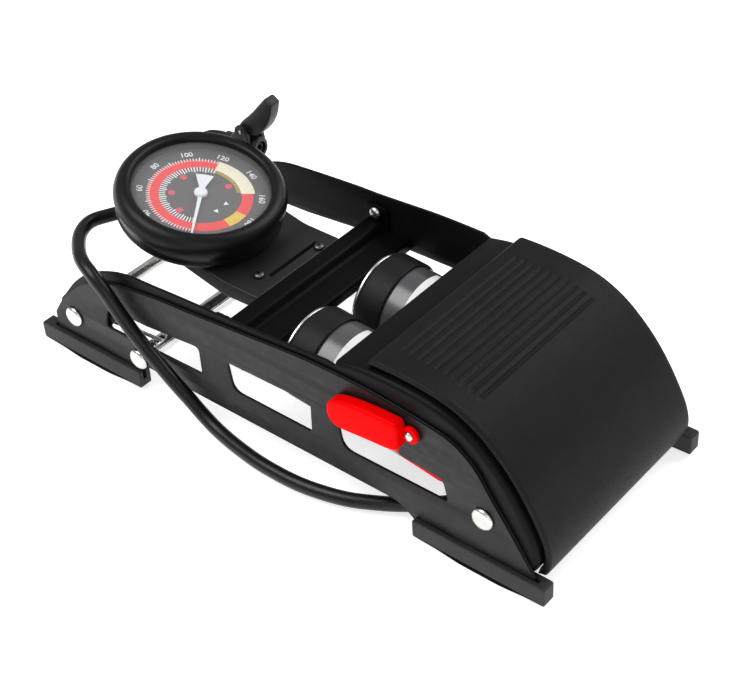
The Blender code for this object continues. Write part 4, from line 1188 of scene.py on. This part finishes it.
# ---- hose and gauge tube -------------------------------------------------------
# Centre lines as (x, y, z), from the manifold to the chuck and to the gauge
HOSE_LINE = [
    tuple(NIPPLE + NIPPLE_RUN * 7.0), tuple(NIPPLE + NIPPLE_RUN * 10.5),
    (256.4, -12.4, 9.6), (251.0, -19.0, 7.0), (243, -28.5, 6.0), (232, -40, 5.6),
    (220.5, -48.8, 5.3), (209.6, -55.7, 5.2), (195.3, -62.4, 5.2), (175.4, -66.8, 5.2),
    (154.2, -67.3, 5.2), (136.5, -65.4, 5.3), (122.5, -63.2, 6.2), (113.0, -62.2, 9.6),
    (104.5, -61.9, 14.9), (96.0, -61.9, 20.5), (85.1, -61.9, 28.7), (76.0, -61.9, 35.8),
    (65.9, -61.9, 45.4), (57.1, -61.9, 55.4), (48.6, -61.2, 61.6), (37.9, -57.4, 63.4),
    (27.3, -49.6, 62.8), (19.6, -40.7, 62.3), (16.8, -31.5, 62.0), (19.9, -22.5, 61.6),
    (26.5, -11.5, 61.8), (30.0, 1.0, 62.4), (28.0, 16.0, 63.8), (22.4, 29.5, 66.0),
    (18.6, 39.5, 68.6), (21.0, 46.8, 70.3), (25.6, 49.3, 70.7), (29.8, 49.6, 71.05),
]
TUBE_LINE = [
    (249.0, 0, 22.6), (240, 0, 22.0), (215, 0, 21.0), (180, 0, 21.5), (150, 0, 23.0),
    (120, 0, 27.0), (95, 0, 32.0), (74, 0, 36.0), (61, 0, 39.2), (55.2, 0, 45.4), (56.0, 0, 52.5),
]
mesh = wire(on_bench(even(flow(HOSE_LINE, 12), 1.2)), radius=3.4, sides=28)
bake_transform(part("air_hose", mesh, HOSE))
mesh = wire(on_bench(even(flow(TUBE_LINE, 10), 1.5)), radius=2.0, sides=16)
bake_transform(part("gauge_tube", mesh, HOSE))

# ---- chuck ---------------------------------------------------------------------
CHUCK_AT = (46.5, 50.6, 72.6)
ON_CHUCK = aimed(CHUCK_AT, Vector((0.994, 0.06, 0.09)).normalized())
PIVOT = (46.0, CHUCK_AT[1], 83.0)
CHUCK_BODY = [
    (0, -16.2), (3.6, -16.2), (4.3, -15.4), (4.3, -14.4), (3.9, -14.1), (3.9, -13.3),
    (4.3, -13.0), (4.3, -11.0), (5.4, -9.6), (6.3, -8.0), (6.3, 1.4), (5.6, 2.6),
    (5.6, 6.0), (4.9, 6.6), (3.4, 6.6), (3.4, -3.0), (0, -3.0),
]
CHUCK_PIN = [(0, -6.4), (0.8, -6.4), (1.0, -6.2), (1.0, 6.2), (0.8, 6.4), (0, 6.4)]
CHUCK_SEAL = [(1.6, -2.6), (3.1, -2.6), (3.1, 5.0), (2.4, 5.6), (1.6, 5.6)]
# Outlines as x, z, corner radius
EAR = [(40.6, 74.0, 0), (51.4, 74.0, 0), (49.4, 86.0, 3.2), (42.6, 86.0, 3.2)]
LEVER = [
    (43.6, 80.4, 1.5), (48.4, 80.4, 2), (55.0, 82.4, 4), (61.4, 89.4, 6), (64.8, 96.2, 5),
    (66.4, 103.4, 1.2), (62.0, 105.8, 1.2), (56.6, 99.6, 6), (51.4, 93.6, 6), (44.8, 87.4, 4),
    (42.4, 84.0, 2),
]
EAR_OFFSET, EAR_HALF, LEVER_HALF = 4.9, 1.1, 3.5
pin_hole = circle(PIVOT[0], PIVOT[2], 1.3, 24)
ears = []
for offset in (-EAR_OFFSET, EAR_OFFSET):
    y = PIVOT[1] + offset
    ears.append(sheet(rounded(EAR, 8), y - EAR_HALF, y + EAR_HALF, [pin_hole], edge=0.3))
chuck = merged(turned(fillet(CHUCK_BODY, 0.3), ON_CHUCK, 64), *ears)
part("chuck_body", chuck, PLASTIC, "arm")
part("chuck_pin", turned(CHUCK_PIN, along_y(*PIVOT), 32), STEEL, "arm")
part("chuck_seal", turned(fillet(CHUCK_SEAL, 0.2), ON_CHUCK, 40), SEAL, "arm")
lever = sheet(rounded(LEVER), PIVOT[1] - LEVER_HALF, PIVOT[1] + LEVER_HALF, [pin_hole],
              edge=1.1, segments=4)
part("chuck_lever", lever, PLASTIC, "chuck_thumb_lever")


# ---- floor, light and camera (scene metres) ------------------------------------
def floor_white():
    """Matt white that glows a little, so the floor stays bright."""
    look = Look("floor_white")
    cloud = look.noise(scale=3.0)
    look.set("Base Color", look.mix(look.spread(cloud), (0.9, 0.9, 0.9), (0.93, 0.93, 0.93)))
    look.set("Roughness", 0.9)
    look.set("Emission Color", (1.0, 1.0, 1.0, 1.0))
    look.set("Emission Strength", 0.66)
    look.set("Specular IOR Level", 0.1)
    return look.made


bpy.ops.mesh.primitive_plane_add(size=8.0, location=(0, 0, -0.0002))
floor = bpy.context.object
floor.name = "floor"
floor.data.materials.append(floor_white())


def studio_world():
    """White surroundings: full to the camera, dimmer as a light on the pump."""
    world = bpy.data.worlds.new("studio")
    bpy.context.scene.world = world
    world.use_nodes = True
    tree = world.node_tree
    background = tree.nodes["Background"]
    background.inputs["Color"].default_value = (1.0, 1.0, 1.0, 1)
    path = tree.nodes.new("ShaderNodeLightPath")
    level = tree.nodes.new("ShaderNodeMapRange")
    level.inputs["To Min"].default_value = 0.4
    level.inputs["To Max"].default_value = 1.0
    tree.links.new(path.outputs["Is Camera Ray"], level.inputs["Value"])
    tree.links.new(level.outputs["Result"], background.inputs["Strength"])


studio_world()


def area(name, at, size, power):
    """A square light aimed at the middle of the pump."""
    light = bpy.data.lights.new(name, "AREA")
    light.energy = power
    light.size = size
    obj = bpy.data.objects.new(name, light)
    bpy.context.scene.collection.objects.link(obj)
    obj.location = at
    aim = Vector((0, 0, 0.03)) - Vector(at)
    obj.rotation_euler = aim.to_track_quat("-Z", "Y").to_euler()


area("key", at=(-0.5, -0.55, 1.25), size=0.9, power=12.0)
area("top_back", at=(0.35, 0.95, 0.95), size=1.0, power=8.6)
area("front_fill", at=(0.9, -0.9, 0.6), size=1.1, power=3.4)

AZIMUTH, ELEVATION, ROLL = math.radians(41.8), math.radians(39.08), math.radians(-3.74)
CAMERA_TARGET = bench(137.79, 26.55, 1.8)
CAMERA_DISTANCE = 0.81682


def add_camera():
    flat_run = math.cos(ELEVATION)
    forward = Vector(
        (-math.sin(AZIMUTH) * flat_run, math.cos(AZIMUTH) * flat_run, -math.sin(ELEVATION))
    )
    level = Vector((math.cos(AZIMUTH), math.sin(AZIMUTH), 0))
    upright = level.cross(forward)
    right = level * math.cos(ROLL) + upright * math.sin(ROLL)
    top = -level * math.sin(ROLL) + upright * math.cos(ROLL)
    camera = bpy.data.cameras.new("camera")
    camera.sensor_fit = "HORIZONTAL"
    camera.sensor_width = 36.0
    camera.lens = 82.1383784
    camera.clip_start = 0.01
    view = bpy.data.objects.new("camera", camera)
    bpy.context.scene.collection.objects.link(view)
    basis = Matrix((right, top, -forward)).transposed().to_4x4()
    view.matrix_world = Matrix.Translation(CAMERA_TARGET - forward * CAMERA_DISTANCE) @ basis
    bpy.context.scene.camera = view


add_camera()
bpy.context.scene.view_settings.view_transform = "Standard"
